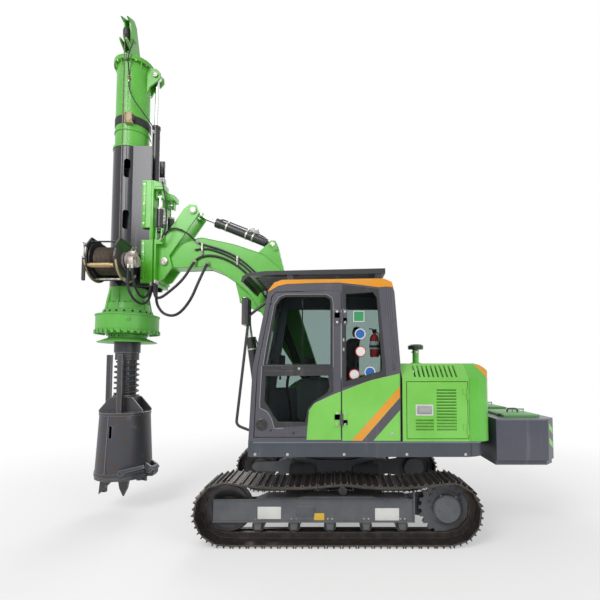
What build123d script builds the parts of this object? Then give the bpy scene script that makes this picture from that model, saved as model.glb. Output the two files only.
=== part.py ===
"""Compact rotary drilling rig on a crawler excavator carrier.

Millimetres. +X points to the front (the mast), +Y to the left (the cab side) and +Z up.
The origin lies on the slewing axis at ground level.
"""

import os
from math import asin, cos, hypot, pi, radians, sin

from build123d import *

os.makedirs("parts", exist_ok=True)

# Crawler tracks
TRACK_LENGTH = 2840
TRACK_HEIGHT = 650
TRACK_GAUGE = 1750
SHOE_WIDTH = 450
SHOE_COUNT = 40
SPROCKET_X = -1129
IDLER_X = SPROCKET_X + TRACK_LENGTH - TRACK_HEIGHT
AXLE_Z = TRACK_HEIGHT / 2
GROUSER_HEIGHT = 20
SHOE_PLATE = 10
SHOE_GAP = 5
PIN_TO_SHOE = 34
RAIL_DEPTH = 28
RAIL_INNER = 30
RAIL_WIDTH = 32
PIN_RADIUS = AXLE_Z - PIN_TO_SHOE - SHOE_PLATE - GROUSER_HEIGHT
CHAIN_SAG = 38
CARRIER_ROLLER_X = -88
CARRIER_DROP = 12

# Track frames, rollers and drives
BEAM_BOTTOM = 225
BEAM_HALF_WIDTH = 95
BEAM_REAR = -800
BEAM_FRONT = 798
ROLLER_RADIUS = 62
ROLLER_COUNT = 5
ROLLER_PITCH = 360
ROLLER_MID_X = 40
ROLLER_HALF_WIDTH = 55
COLLAR_INNER = 66
COLLAR_OUTER = 92
SIDE_GAP = 0.3
CARRIER_ROLLER_RADIUS = 40
IDLER_HALF_WIDTH = 55
DRIVE_PLATE = 25
DRIVE_COVER_RADIUS = 138
DRIVE_COVER_REACH = 110
SPROCKET_TEETH = 21
SPROCKET_THICKNESS = 40

# Carbody and slewing ring
CARBODY_TOP = 700
CARBODY_RADIUS = 470
LEG_X_INNER = 210
LEG_X_OUTER = 500
TOW_EYE_X = LEG_X_OUTER + 48
TOW_EYE_Z = 380
TOW_EYE_THICKNESS = 40
TOW_EYE_RADIUS = 22
TOW_EYE_WALL = 38
RING_RADIUS = 440
RING_BORE = 310
RING_SPLIT_Z = 776
RING_GAP = 0.5

# Slewing platform
DECK_BOTTOM = 855
DECK_TOP = 1007
DECK_FRONT = 862
DECK_REAR = -1542
DECK_HALF_WIDTH = 1030
DECK_PLATE = 25
SKIRT_WALL = 60
NOTCH_HALF_WIDTH = 80
NOTCH_DEPTH = 110

# Boom and its pins
BOOM_FOOT = (220, 1380)
BOOM_TIP = (2100, 3046)
TIP_BOSS = 68
BOOM_HALF_WIDTH = 108
BOOM_PIN_RADIUS = 38
PIN_CLEARANCE = 0.4
BRACKET_PLATE = 30
PIN_SIDE_GAP = 3

# Lift cylinder under the boom
LIFT_FOOT = (880, 980)
LIFT_EYE = (1118, 2580)
LIFT_BORE_RADIUS = 60
LIFT_ROD_RADIUS = 32
LIFT_BARREL_LENGTH = 1150
LIFT_ROD_HIDDEN = 460
LIFT_EYE_HALF = 40
LUG_PLATE = 22

# Tilt cylinder above the boom
TILT_FOOT = (772, 3289)
LEVER_PIN = (1755, 3692)
TILT_BORE_RADIUS = 54
TILT_ROD_RADIUS = 25
TILT_BARREL_LENGTH = 790
TILT_ROD_HIDDEN = 320
TILT_EYE_HALF = 34
EYE_RADIUS = 52
EYE_PIN_RADIUS = 27
ROD_CLEARANCE = 0.3

# Carrier at the boom's tip
CHEEK_INNER = 114
CHEEK_PLATE = 30
CARRIER_REACH = 100
CARRIER_FACE_X = BOOM_TIP[0] + CARRIER_REACH
CARRIER_PLATE = 24
ROLL_AXIS_Z = 3046
ROLL_PIN_RADIUS = 70

# Side tilt cylinders between carrier and carriage
ROLL_SETBACK = 48
ROLL_CYLINDER_X = CARRIER_FACE_X - ROLL_SETBACK
ROLL_CYLINDER_Y = 165
ROLL_FOOT_Z = 3425
ROLL_HEAD_Z = 3850
ROLL_BORE_RADIUS = 42
ROLL_ROD_RADIUS = 20
ROLL_BARREL_LENGTH = 290
ROLL_ROD_HIDDEN = 150
ROLL_EYE_HALF = 22
ROLL_EYE_RADIUS = 34

# Carriage that guides the mast
FACE_GAP = 6
CARRIAGE_FACE_X = CARRIER_FACE_X + FACE_GAP
CARRIAGE_PLATE = 38
CARRIAGE_BOTTOM = 2762
CARRIAGE_TOP = 4031
CHEEK_TOP_RANGE = (3445, 4031)
CHEEK_LOW_RANGE = (2762, 3290)
GUIDE_HALF_WIDTH = 200
GUIDE_GAP = 6
GUIDE_CHEEK = 34
RAIL_REAR_GAP = 18
RAIL_REAR_X = CARRIAGE_FACE_X + CARRIAGE_PLATE + RAIL_REAR_GAP
GUIDE_BITE = 83
GUIDE_CHEEK_FRONT = RAIL_REAR_X + GUIDE_BITE
BEAM_REACH = 121
BEAM_REACH_X = CARRIAGE_FACE_X - BEAM_REACH
BEAM_INNER_Y = 96
BEAM_LOW_Z = 3925
BEAM_DROP = 41

# Mast
MAST_STANDOFF = 394
MAST_X = CARRIAGE_FACE_X + MAST_STANDOFF
LOWER_TUBE_RADIUS = 219
TUBE_WALL = 14
MAST_BOTTOM = 2727
TUBE_SLOT_DROPS = (308, 953)
TUBE_SLOT_LENGTH = 240
TUBE_SLOT_RADIUS = 37
TUBE_SLOT_OFFSET = 44
TUBE_SLOT_X = MAST_X - TUBE_SLOT_OFFSET
LOWER_TUBE_LENGTH = 1781
TUBE_JOINT_Z = MAST_BOTTOM + LOWER_TUBE_LENGTH
UPPER_TUBE_RADIUS = 206
UPPER_TUBE_LENGTH = 1115
MAST_FLANGE_Z = TUBE_JOINT_Z + UPPER_TUBE_LENGTH
SLIDE_RAIL_DEPTH = 208
RAIL_FRONT_X = RAIL_REAR_X + SLIDE_RAIL_DEPTH
RAIL_PLATE = 30
CROWD_GAP = 9
CROWD_BARREL_RADIUS = 47
CROWD_X = CARRIAGE_FACE_X + CARRIAGE_PLATE + CROWD_GAP + CROWD_BARREL_RADIUS
CROWD_BARREL_BOTTOM = 3520
CROWD_BARREL_TOP = 4855
CROWD_CLAMP_TOP_Z = 3900
CROWD_CLAMP_HEIGHT = 90
CROWD_ROD_RADIUS = 26
CROWD_ROD_BOTTOM = 4300
CROWD_EAR_DEPTH = 117
CROWD_EAR_Z = MAST_FLANGE_Z - CROWD_EAR_DEPTH
EAR_DROP = 300
GUSSET_COUNT = 12

# Mast head and hoist rope
SHEAVE_Y = 130
SHEAVE_RISE = 282
SHEAVE_Z = MAST_FLANGE_Z + SHEAVE_RISE
SHEAVE_RADIUS = 145
SHEAVE_HALF_WIDTH = 22
SHEAVE_PIN_RADIUS = 25
HEAD_PLATE = 18
HEAD_RISE = 115
HEAD_TOP = SHEAVE_Z + SHEAVE_RADIUS + HEAD_RISE
BEAK_REACH = 120
ROPE_RADIUS = 7

# Winch on the left side of the mast
WINCH_SETBACK = 39
WINCH_X = MAST_X - WINCH_SETBACK
WINCH_Y = 480
WINCH_Z = 2960
DRUM_FLANGE_RADIUS = 212
DRUM_RADIUS = 143
DRUM_HALF_LENGTH = 143
MOTOR_LENGTH = 140
WINCH_SADDLE = (MAST_X - 92, MAST_X + 100)
DRUM_FLANGE = 12
DRUM_AXLE_RADIUS = 30
WINCH_PLATE = 16
WINCH_SIDE_GAP = 6

# Rotary drive, kelly bar and bucket
DRIVE_RING_RADIUS = 360
DRIVE_BOTTOM = 2150
FLARE_RADIUS = 340
FLARE_SLOT_AZIMUTHS = (56, 66, 76, 92, 102, 112)
FLARE_BOTTOM = 2048
STUB_RADIUS = 150
STUB_BOTTOM = 1834
KELLY_RADIUS = 105
KELLY_TOP = 4250
KELLY_BORE_GAP = 7
KELLY_BUSH_GAP = 0.5
DRIVE_NECK_RADIUS = 200
DRIVE_NECK_HEIGHT = 40
DRIVE_NECK_TOP = DRIVE_BOTTOM + DRIVE_NECK_HEIGHT
DRIVE_RING_LOW = 2175
DRIVE_RING_TOP = 2388
DRIVE_CASE_RADIUS = 262
DRIVE_CASE_TOP = 2530
DRIVE_COLLAR_RADIUS = 222
DRIVE_TOOTH_COUNT = 32
DRIVE_TOOTH = 14
DRIVE_RIB_COUNT = 10
FLARE_NECK_RADIUS = 222
FLARE_NECK_LOW = 2105
STUB_TOP = 1925
STUB_NOTCH = 60
HUB_TOP = 1380
HUB_HALF = 125
SPRING_RADIUS = 131
SPRING_WIRE = 12
SPRING_BOTTOM = 1400
SPRING_TOP = 1830
SPRING_TURNS = 6
TRIP_BAR = 54
TRIP_BAR_RADIUS = 205
TRIP_BAR_TOP = 1898
TRIP_BAR_AZIMUTHS = (8, 98)
BUCKET_TOP = 1200
BUCKET_BOTTOM = 440
BUCKET_TOP_RADIUS = 284
BUCKET_BOTTOM_RADIUS = 322
BUCKET_SLOT = (38, 150)
BUCKET_SLOT_Z = 978
BUCKET_SLOT_TURN = 85
BUCKET_WALL = 16
GATE_PIN = (MAST_X - BUCKET_BOTTOM_RADIUS - 41, BUCKET_BOTTOM + 58)
GATE_PLATE = 22
GATE_GAP = 6
PILOT_TIP_Z = 152

# Cab
CAB_Y_INNER = 170
CAB_Y_OUTER = 1030
CAB_WALL = 40
CAB_OUTLINE = (
    (849, 1007), (815, 1721), (665, 2508), (600, 2592), (520, 2620),
    (-500, 2634), (-580, 2600), (-610, 2500), (-663, 1790), (-663, 1007),
)
DOOR_GAP = 6
DOOR_HINGE_X = -75
DOOR_HINGE_Y = CAB_Y_OUTER + 15
DOOR_HINGE_ZS = (1230, 2245)
HOOD_HINGE_Y = DECK_HALF_WIDTH + 8
HOOD_HINGE_ZS = (1130, 1480)
HINGE_LOW = 60
HINGE_HIGH = 45
DOOR_THICKNESS = 38
WINDOW_ROUND = 14
GLASS = 6
GUARD_SLOT_X = (-440, 820)
GUARD_SLOT = 90
GUARD_SLOT_PITCH = 115
GUARD_SLOT_COUNT = 6
GUARD_SEAT_Z = 2700
GUARD_FOOT = 34
SEAT_X = -180
SEAT_LENGTH = 570
SEAT_Y = (350, 850)
SEAT_BASE_HEIGHT = 350
SEAT_CUSHION = 160
SEAT_BACK_TOP = 2200

# Hood, counterweight, tanks and rear box
HOOD_FRONT = -680
HOOD_REAR = -1345
HOOD_HINGE_X = HOOD_REAR + 18
HOOD_TOP = 1781
HOOD_CREASE = 1633
HOOD_SHOULDER_WIDTH = 180
HOOD_SHOULDER = DECK_HALF_WIDTH - HOOD_SHOULDER_WIDTH
HOOD_WALL = 30
HOOD_DOOR_BOTTOM = 1030
HOOD_DOOR_TOP = 1600
SHOULDER_SLOT = (-1236, 18, 46, 10)
HIGH_GRILLE = (-1218, 197, 1117, 15, 30, 14)
LOW_GRILLE = (-990, 178, 1117, 15, 30, 4)
CWT_REAR = -1572
CWT_ROUND = 140
CWT_TOP_ROUND = 130
ENGINE_X = (-1300, -860)
ENGINE_Y = (-420, 380)
ENGINE_TOP = 1580
BOX_FRONT = -1661
BOX_REAR = -2296
BOX_HALF_WIDTH = 900
BOX_BOTTOM = 792
BOX_TOP = 1212
BOX_WALL = 20
BOX_BASE = 52
LID_THICKNESS = 22
LID_GAP = 0.5
LID_HINGE_X = BOX_FRONT - 140
BIN_X = (BOX_REAR + 120, LID_HINGE_X - 34)
BIN_Y = (170, 740)
LID_MARGIN = 30
LID_HINGE_Z = BOX_TOP + LID_GAP + LID_THICKNESS + 1.5
LID_HINGE_RADIUS = 10
LID_PIN_RADIUS = 4
LID_KNUCKLE = 34
LID_HINGE_YS = (230, 660)
HANDLE_RADIUS = 7
HANDLE_POST_RADIUS = 5
HANDLE_HALF = 62
HANDLE_RISE = 34


def side_plane(y):
    """Plane parallel to the X-Z plane whose extrusion runs towards -Y from y."""
    return Plane.XZ.offset(-y)


def front_plane(x):
    """Plane parallel to the Y-Z plane whose extrusion runs towards +X from x."""
    return Plane.YZ.offset(x)


def slab(outline, y_low, y_high, round_by=0, mode=Mode.ADD):
    """Plate with a side outline of (x, z) points between two y planes."""
    with BuildSketch(side_plane(y_high)) as face:
        Polygon(*outline, align=None)
        if round_by:
            fillet(face.vertices(), radius=round_by)
    extrude(face.sketch, amount=y_high - y_low, mode=mode)


def cross_slab(outline, x_low, x_high, round_by=0, mode=Mode.ADD):
    """Plate with a front outline of (y, z) points between two x planes."""
    with BuildSketch(front_plane(x_low)) as face:
        Polygon(*outline, align=None)
        if round_by:
            fillet(face.vertices(), radius=round_by)
    extrude(face.sketch, amount=x_high - x_low, mode=mode)


def deck_slab(outline, z_low, z_high, round_by=0, mode=Mode.ADD):
    """Plate with a plan outline of (x, y) points between two heights."""
    with BuildSketch(Plane.XY.offset(z_low)) as face:
        Polygon(*outline, align=None)
        if round_by:
            fillet(face.vertices(), radius=round_by)
    extrude(face.sketch, amount=z_high - z_low, mode=mode)


def block(x_span, y_span, z_span, mode=Mode.ADD):
    """Rectangular block given by its spans."""
    (x_low, x_high), (y_low, y_high), (z_low, z_high) = x_span, y_span, z_span
    with Locations(((x_low + x_high) / 2, (y_low + y_high) / 2, (z_low + z_high) / 2)):
        Box(x_high - x_low, y_high - y_low, z_high - z_low, mode=mode)


def turned(profile, at, mode=Mode.ADD):
    """Solid of revolution of (radius, height) points about the normal of a plane."""
    flank = Plane(at.origin, x_dir=at.x_dir, z_dir=-at.y_dir)
    with BuildSketch(flank) as half:
        Polygon(*profile, align=None)
    revolve(half.sketch, axis=Axis(at.origin, at.z_dir), mode=mode)


def shaft(at, radius, low, high, mode=Mode.ADD):
    """Round bar along the normal of a plane, between two heights above it."""
    start = at.offset(low)
    with BuildSketch(start) as disc:
        Circle(radius)
    extrude(disc.sketch, amount=high - low, mode=mode)


def across(x, z, y=0):
    """Plane for a pin that lies along +Y through (x, z)."""
    return Plane(origin=(x, y, z), x_dir=(1, 0, 0), z_dir=(0, 1, 0))


def upright(x, y, z=0):
    """Plane for a part that stands on (x, y) with its axis along +Z."""
    return Plane(origin=(x, y, z))


def lengthwise(y, z, x=0):
    """Plane for a part whose axis lies along +X through (y, z)."""
    return Plane(origin=(x, y, z), x_dir=(0, 1, 0), z_dir=(1, 0, 0))


def aimed(start, end):
    """Plane at start, in the X-Z plane of the machine, whose normal points to end."""
    direction = (end[0] - start[0], 0, end[1] - start[1])
    return Plane(origin=(start[0], 0, start[1]), x_dir=(0, 1, 0), z_dir=direction)


def knuckle(x, y, z_span, radius, strap_x, wall_y):
    """Hinge eye on the axis through (x, y), joined by a strap to the wall face at wall_y."""
    shaft(upright(x, y), radius, z_span[0], z_span[1])
    block(sorted((x, strap_x)), sorted((wall_y, (wall_y + 2 * y) / 3)), z_span)


def reach(start, end):
    """Distance between two (x, z) pins."""
    return hypot(end[0] - start[0], end[1] - start[1])


def write(builder, label):
    """Labels a finished piece and writes it as one STEP file."""
    builder.part.label = label
    export_step(builder.part, f"parts/{label}.step")


# Track chain and shoes
def chain_pins():
    """Pin centres of the chain as (x, z), anticlockwise from under the sprocket."""
    top = AXLE_Z + PIN_RADIUS
    low = AXLE_Z - PIN_RADIUS
    rest_z = top - CARRIER_DROP
    with BuildLine() as loop:
        Line((SPROCKET_X, low), (IDLER_X, low))
        ThreePointArc((IDLER_X, low), (IDLER_X + PIN_RADIUS, AXLE_Z), (IDLER_X, top))
        front_mid = (IDLER_X + CARRIER_ROLLER_X) / 2
        ThreePointArc((IDLER_X, top), (front_mid, rest_z - CHAIN_SAG), (CARRIER_ROLLER_X, rest_z))
        rear_mid = (SPROCKET_X + CARRIER_ROLLER_X) / 2
        ThreePointArc((CARRIER_ROLLER_X, rest_z), (rear_mid, rest_z - CHAIN_SAG), (SPROCKET_X, top))
        ThreePointArc((SPROCKET_X, top), (SPROCKET_X - PIN_RADIUS, AXLE_Z), (SPROCKET_X, low))
    path = loop.wire()
    points = []
    for number in range(SHOE_COUNT):
        at = path.position_at(path.length * number / SHOE_COUNT, position_mode=PositionMode.LENGTH)
        points.append((at.X, at.Y))
    return points


def offset_ring(pins, outward):
    """One point for each pin, set off outwards along the bisector of its two links."""
    ring = []
    for number, (x, z) in enumerate(pins):
        before = pins[number - 1]
        after = pins[(number + 1) % len(pins)]
        run = hypot(after[0] - before[0], after[1] - before[1])
        ring.append((
            x + outward * (after[1] - before[1]) / run,
            z - outward * (after[0] - before[0]) / run,
        ))
    return ring


def shoe_ring(pins):
    """Outer outline of the shoes, each with three grousers."""
    plate = PIN_TO_SHOE + SHOE_PLATE
    tip = plate + GROUSER_HEIGHT
    root = PIN_TO_SHOE + SHOE_PLATE / 4
    ring = []
    for number, (x, z) in enumerate(pins):
        after = pins[(number + 1) % len(pins)]
        pitch = hypot(after[0] - x, after[1] - z)
        along = ((after[0] - x) / pitch, (after[1] - z) / pitch)
        half = pitch / 2
        edge = half - SHOE_GAP
        shape = (
            (-edge, root), (-edge, tip), (-edge + 9, tip), (-edge + 17, plate),
            (-11, plate), (-5, tip), (5, tip), (11, plate),
            (edge - 17, plate), (edge - 9, tip), (edge, tip), (edge, root),
        )
        for run, out in shape:
            ring.append((
                x + along[0] * (half + run) + along[1] * out,
                z + along[1] * (half + run) - along[0] * out,
            ))
    return ring


def ring_face(outer, inner, y_high, amount):
    """Extrudes the band between two closed outlines towards -Y."""
    with BuildSketch(side_plane(y_high)) as band:
        Polygon(*outer, align=None)
        Polygon(*inner, align=None, mode=Mode.SUBTRACT)
    extrude(band.sketch, amount=amount)


def rail_height(x):
    """Height of the rails' running face under the top run at x."""
    ring = offset_ring(pins, -RAIL_DEPTH)
    heights = []
    for number, (x_end, z_end) in enumerate(ring):
        x_start, z_start = ring[number - 1]
        if z_start > AXLE_Z and min(x_start, x_end) <= x <= max(x_start, x_end):
            heights.append(z_start + (x - x_start) * (z_end - z_start) / (x_end - x_start))
    return min(heights)


pins = chain_pins()
link_pitch = hypot(pins[1][0] - pins[0][0], pins[1][1] - pins[0][1])
half_link_angle = asin(link_pitch / 2 / PIN_RADIUS)
sides = (("left", 1), ("right", -1))
for side, sign in sides:
    centre = sign * TRACK_GAUGE / 2
    with BuildPart() as track:
        ring_face(
            shoe_ring(pins), offset_ring(pins, PIN_TO_SHOE - 4),
            centre + SHOE_WIDTH / 2, SHOE_WIDTH,
        )
        for rail_mid in (RAIL_INNER + RAIL_WIDTH / 2, -RAIL_INNER - RAIL_WIDTH / 2):
            ring_face(
                offset_ring(pins, PIN_TO_SHOE), offset_ring(pins, -RAIL_DEPTH),
                centre + rail_mid + RAIL_WIDTH / 2, RAIL_WIDTH,
            )
    write(track, f"track_{side}")

# Track frames with the idler forks, roller collars and drive plates
roller_xs = [ROLLER_MID_X + ROLLER_PITCH * (n - (ROLLER_COUNT - 1) / 2) for n in range(ROLLER_COUNT)]
roller_z = AXLE_Z - PIN_RADIUS + RAIL_DEPTH + ROLLER_RADIUS + SIDE_GAP
carrier_z = min(
    rail_height(CARRIER_ROLLER_X + along) for along in (-CARRIER_ROLLER_RADIUS, 0, CARRIER_ROLLER_RADIUS)
) - CARRIER_ROLLER_RADIUS - SIDE_GAP
BEAM_TOP = 440
BEAM_HUMP = 452
beam_outline = (
    (BEAM_REAR, BEAM_BOTTOM), (BEAM_REAR, 400), (BEAM_REAR + 90, BEAM_TOP), (-430, BEAM_TOP),
    (-370, BEAM_HUMP), (300, BEAM_HUMP), (360, BEAM_TOP), (BEAM_FRONT - 110, BEAM_TOP),
    (BEAM_FRONT, 395), (BEAM_FRONT, BEAM_BOTTOM),
)
fork_outline = (
    (BEAM_FRONT - 120, 250), (BEAM_FRONT - 120, 400), (IDLER_X + 60, 388),
    (IDLER_X + 110, 350), (IDLER_X + 110, 300), (IDLER_X + 60, 262),
)
for side, sign in sides:
    centre = sign * TRACK_GAUGE / 2
    with BuildPart() as track_frame:
        slab(beam_outline, centre - BEAM_HALF_WIDTH, centre + BEAM_HALF_WIDTH)
        for plate_mid in (-(COLLAR_INNER + COLLAR_OUTER) / 2, (COLLAR_INNER + COLLAR_OUTER) / 2):
            thickness = COLLAR_OUTER - COLLAR_INNER
            plate_low = centre + plate_mid - thickness / 2
            slab(fork_outline, plate_low, plate_low + thickness)
            for x in roller_xs:
                collar = (
                    (x - 48, BEAM_BOTTOM + 5), (x - 28, roller_z - 26), (x + 28, roller_z - 26),
                    (x + 48, BEAM_BOTTOM + 5),
                )
                slab(collar, plate_low, plate_low + thickness)
        plate_inner = centre - sign * BEAM_HALF_WIDTH
        plate_edges = sorted((plate_inner, plate_inner + sign * DRIVE_PLATE))
        slab(
            ((SPROCKET_X, AXLE_Z - 150), (BEAM_REAR + 60, AXLE_Z - 95),
             (BEAM_REAR + 60, AXLE_Z + 100), (SPROCKET_X, AXLE_Z + 150)),
            plate_edges[0], plate_edges[1],
        )
        hub = across(SPROCKET_X, AXLE_Z)
        shaft(hub, 150, plate_edges[0], plate_edges[1])
        shaft(hub, 101, plate_edges[0] - 1, plate_edges[1] + 1, mode=Mode.SUBTRACT)
        post = ((CARRIER_ROLLER_X - 45, BEAM_HUMP - 5), (CARRIER_ROLLER_X - 24, carrier_z + 22),
                (CARRIER_ROLLER_X + 24, carrier_z + 22), (CARRIER_ROLLER_X + 45, BEAM_HUMP - 5))
        post_edges = sorted((centre - sign * COLLAR_INNER, centre - sign * BEAM_HALF_WIDTH))
        slab(post, post_edges[0], post_edges[1])
    write(track_frame, f"track_frame_{side}")

with BuildPart() as track_rollers:
    for side, sign in sides:
        centre = sign * TRACK_GAUGE / 2
        axle_end = COLLAR_INNER - SIDE_GAP
        for x in roller_xs:
            turned(
                ((0, -axle_end), (24, -axle_end), (24, -ROLLER_HALF_WIDTH),
                 (ROLLER_RADIUS, -ROLLER_HALF_WIDTH), (ROLLER_RADIUS, -24), (ROLLER_RADIUS - 14, -18),
                 (ROLLER_RADIUS - 14, 18), (ROLLER_RADIUS, 24), (ROLLER_RADIUS, ROLLER_HALF_WIDTH),
                 (24, ROLLER_HALF_WIDTH), (24, axle_end), (0, axle_end)),
                across(x, roller_z, centre),
            )
        inner_end = -sign * axle_end
        outer_end = sign * ROLLER_HALF_WIDTH
        shaft(across(CARRIER_ROLLER_X, carrier_z, centre), CARRIER_ROLLER_RADIUS,
              -ROLLER_HALF_WIDTH, ROLLER_HALF_WIDTH)
        shaft(across(CARRIER_ROLLER_X, carrier_z, centre), 18,
              min(inner_end, outer_end), max(inner_end, outer_end))
write(track_rollers, "track_rollers")

with BuildPart() as idlers:
    idler_radius = (PIN_RADIUS - RAIL_DEPTH) * cos(half_link_angle) - 1
    for side, sign in sides:
        axle_end = COLLAR_INNER - SIDE_GAP
        turned(
            ((0, -axle_end), (38, -axle_end), (38, -40), (110, -30), (idler_radius - 34, -IDLER_HALF_WIDTH),
             (idler_radius, -IDLER_HALF_WIDTH), (idler_radius, -24), (idler_radius + 20, -18),
             (idler_radius + 20, 18), (idler_radius, 24), (idler_radius, IDLER_HALF_WIDTH),
             (idler_radius - 34, IDLER_HALF_WIDTH), (110, 30), (38, 40), (38, axle_end), (0, axle_end)),
            across(IDLER_X, AXLE_Z, sign * TRACK_GAUGE / 2),
        )
write(idlers, "idlers")

with BuildPart() as sprockets:
    tooth_step = 2 * pi / SPROCKET_TEETH
    tooth_form = ((-0.34, -17), (-0.13, 14), (0.13, 14), (0.34, -17))
    tooth_ring = []
    for number in range(SPROCKET_TEETH):
        for turn, out in tooth_form:
            angle = (number + turn) * tooth_step
            radius = PIN_RADIUS + out
            tooth_ring.append((SPROCKET_X + radius * cos(angle), AXLE_Z + radius * sin(angle)))
    half = SPROCKET_THICKNESS / 2
    for side, sign in sides:
        centre = sign * TRACK_GAUGE / 2
        slab(tooth_ring, centre - half, centre + half)
        inner_face = BEAM_HALF_WIDTH - DRIVE_PLATE
        profile = (
            (0, -175), (130, -175), (140, -165), (140, -BEAM_HALF_WIDTH - SIDE_GAP),
            (100, -BEAM_HALF_WIDTH - SIDE_GAP), (100, -inner_face + SIDE_GAP), (168, -inner_face + SIDE_GAP),
            (180, -half), (180, half), (DRIVE_COVER_RADIUS, half + 12),
            (DRIVE_COVER_RADIUS, DRIVE_COVER_REACH - 14), (DRIVE_COVER_RADIUS - 14, DRIVE_COVER_REACH),
            (0, DRIVE_COVER_REACH),
        )
        turned([(radius, sign * height) for radius, height in profile], across(SPROCKET_X, AXLE_Z, centre))
write(sprockets, "sprockets")

# Carbody and slewing ring
leg_outline = ((-780, 290), (-780, 430), (-430, 640), (430, 640), (780, 430), (780, 290), (400, 340), (-400, 340))
with BuildPart() as carbody:
    for x_low, x_high in ((LEG_X_INNER, LEG_X_OUTER), (-LEG_X_OUTER, -LEG_X_INNER)):
        cross_slab(leg_outline, x_low, x_high)
    with BuildSketch(Plane.XY.offset(380)):
        RegularPolygon(CARBODY_RADIUS / cos(pi / 8), 8, rotation=22.5)
    extrude(amount=CARBODY_TOP - 380)
    eye_low, eye_high = TOW_EYE_Z - TOW_EYE_THICKNESS / 2, TOW_EYE_Z + TOW_EYE_THICKNESS / 2
    eye_outer = TOW_EYE_RADIUS + TOW_EYE_WALL
    block((LEG_X_OUTER - 5, TOW_EYE_X), (-eye_outer, eye_outer), (eye_low, eye_high))
    shaft(upright(TOW_EYE_X, 0), eye_outer, eye_low, eye_high)
    shaft(upright(TOW_EYE_X, 0), TOW_EYE_RADIUS, eye_low - 1, eye_high + 1, mode=Mode.SUBTRACT)
write(carbody, "carbody")

with BuildPart() as slew_ring:
    turned(
        ((RING_BORE, CARBODY_TOP), (RING_RADIUS, CARBODY_TOP), (RING_RADIUS, CARBODY_TOP + 30),
         (RING_RADIUS - 24, CARBODY_TOP + 34), (RING_RADIUS - 24, RING_SPLIT_Z - RING_GAP),
         (RING_BORE, RING_SPLIT_Z - RING_GAP)),
        upright(0, 0),
    )
write(slew_ring, "slew_ring")

# Slewing platform with the boom bracket and the lift cylinder's lugs
def rounded_deck(grow, rear_round, front_round):
    """Plan outline of the platform, grown outwards by grow, as a sketch."""
    x_mid = (DECK_FRONT + DECK_REAR) / 2
    with BuildSketch() as plan:
        with Locations((x_mid, 0)):
            Rectangle(DECK_FRONT - DECK_REAR + 2 * grow, 2 * (DECK_HALF_WIDTH + grow))
        fillet(plan.vertices().group_by(Axis.X)[0], radius=rear_round)
        fillet(plan.vertices().group_by(Axis.X)[-1], radius=front_round)
    return plan.sketch


foot_x, foot_z = BOOM_FOOT
bracket_outline = (
    (foot_x - 210, DECK_TOP - 5), (foot_x - 105, foot_z), (foot_x - 60, foot_z + 85),
    (foot_x + 60, foot_z + 85), (foot_x + 105, foot_z), (foot_x + 250, DECK_TOP - 5),
)
with BuildPart() as platform:
    with Locations((0, 0, DECK_BOTTOM)):
        add(rounded_deck(0, 240, 60))
    extrude(amount=DECK_TOP - DECK_BOTTOM)
    with Locations((0, 0, DECK_BOTTOM)):
        add(rounded_deck(-SKIRT_WALL, 190, 20))
    extrude(amount=DECK_TOP - DECK_BOTTOM - DECK_PLATE, mode=Mode.SUBTRACT)
    for sign in (1, -1):
        girder = sorted((sign * 120, sign * 170))
        block((DECK_REAR + 20, DECK_FRONT - 20), girder, (DECK_BOTTOM, DECK_TOP - 5))
    shaft(upright(0, 0), RING_RADIUS + 30, DECK_BOTTOM, DECK_TOP - 5)
    turned(
        ((RING_BORE, RING_SPLIT_Z), (RING_RADIUS - 8, RING_SPLIT_Z), (RING_RADIUS - 8, DECK_BOTTOM + 5),
         (RING_BORE, DECK_BOTTOM + 5)),
        upright(0, 0),
    )
    block((DECK_FRONT - NOTCH_DEPTH, DECK_FRONT + 1), (-NOTCH_HALF_WIDTH, NOTCH_HALF_WIDTH),
          (DECK_BOTTOM - 1, DECK_TOP + 1), mode=Mode.SUBTRACT)
    bracket_inner = BOOM_HALF_WIDTH + PIN_SIDE_GAP
    for sign in (1, -1):
        edges = sorted((sign * bracket_inner, sign * (bracket_inner + BRACKET_PLATE)))
        slab(bracket_outline, edges[0], edges[1])
        lug_inner = LIFT_EYE_HALF + PIN_SIDE_GAP
        lug_edges = sorted((sign * lug_inner, sign * (lug_inner + LUG_PLATE)))
        slab(
            ((DECK_FRONT - NOTCH_DEPTH - 5, DECK_BOTTOM), (DECK_FRONT - NOTCH_DEPTH - 5, DECK_TOP),
             (LIFT_FOOT[0], LIFT_FOOT[1] + 60), (LIFT_FOOT[0] + 58, LIFT_FOOT[1] + 20),
             (LIFT_FOOT[0] + 58, LIFT_FOOT[1] - 40), (LIFT_FOOT[0] - 20, DECK_BOTTOM)),
            lug_edges[0], lug_edges[1],
        )
    shaft(across(*BOOM_FOOT), BOOM_PIN_RADIUS, -bracket_inner - BRACKET_PLATE - 12,
          bracket_inner + BRACKET_PLATE + 12)
    shaft(across(*LIFT_FOOT), EYE_PIN_RADIUS, -LIFT_EYE_HALF - LUG_PLATE - 12,
          LIFT_EYE_HALF + LUG_PLATE + 12)
write(platform, "platform")

# Cab shell, hollow, with its window and door openings
def inset(outline, by):
    """Outline of a cab side, set in by an even distance, as a sketch in local axes."""
    with BuildSketch() as face:
        Polygon(*outline, align=None)
        if by:
            offset(amount=-by, kind=Kind.INTERSECTION)
    return face.sketch


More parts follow.
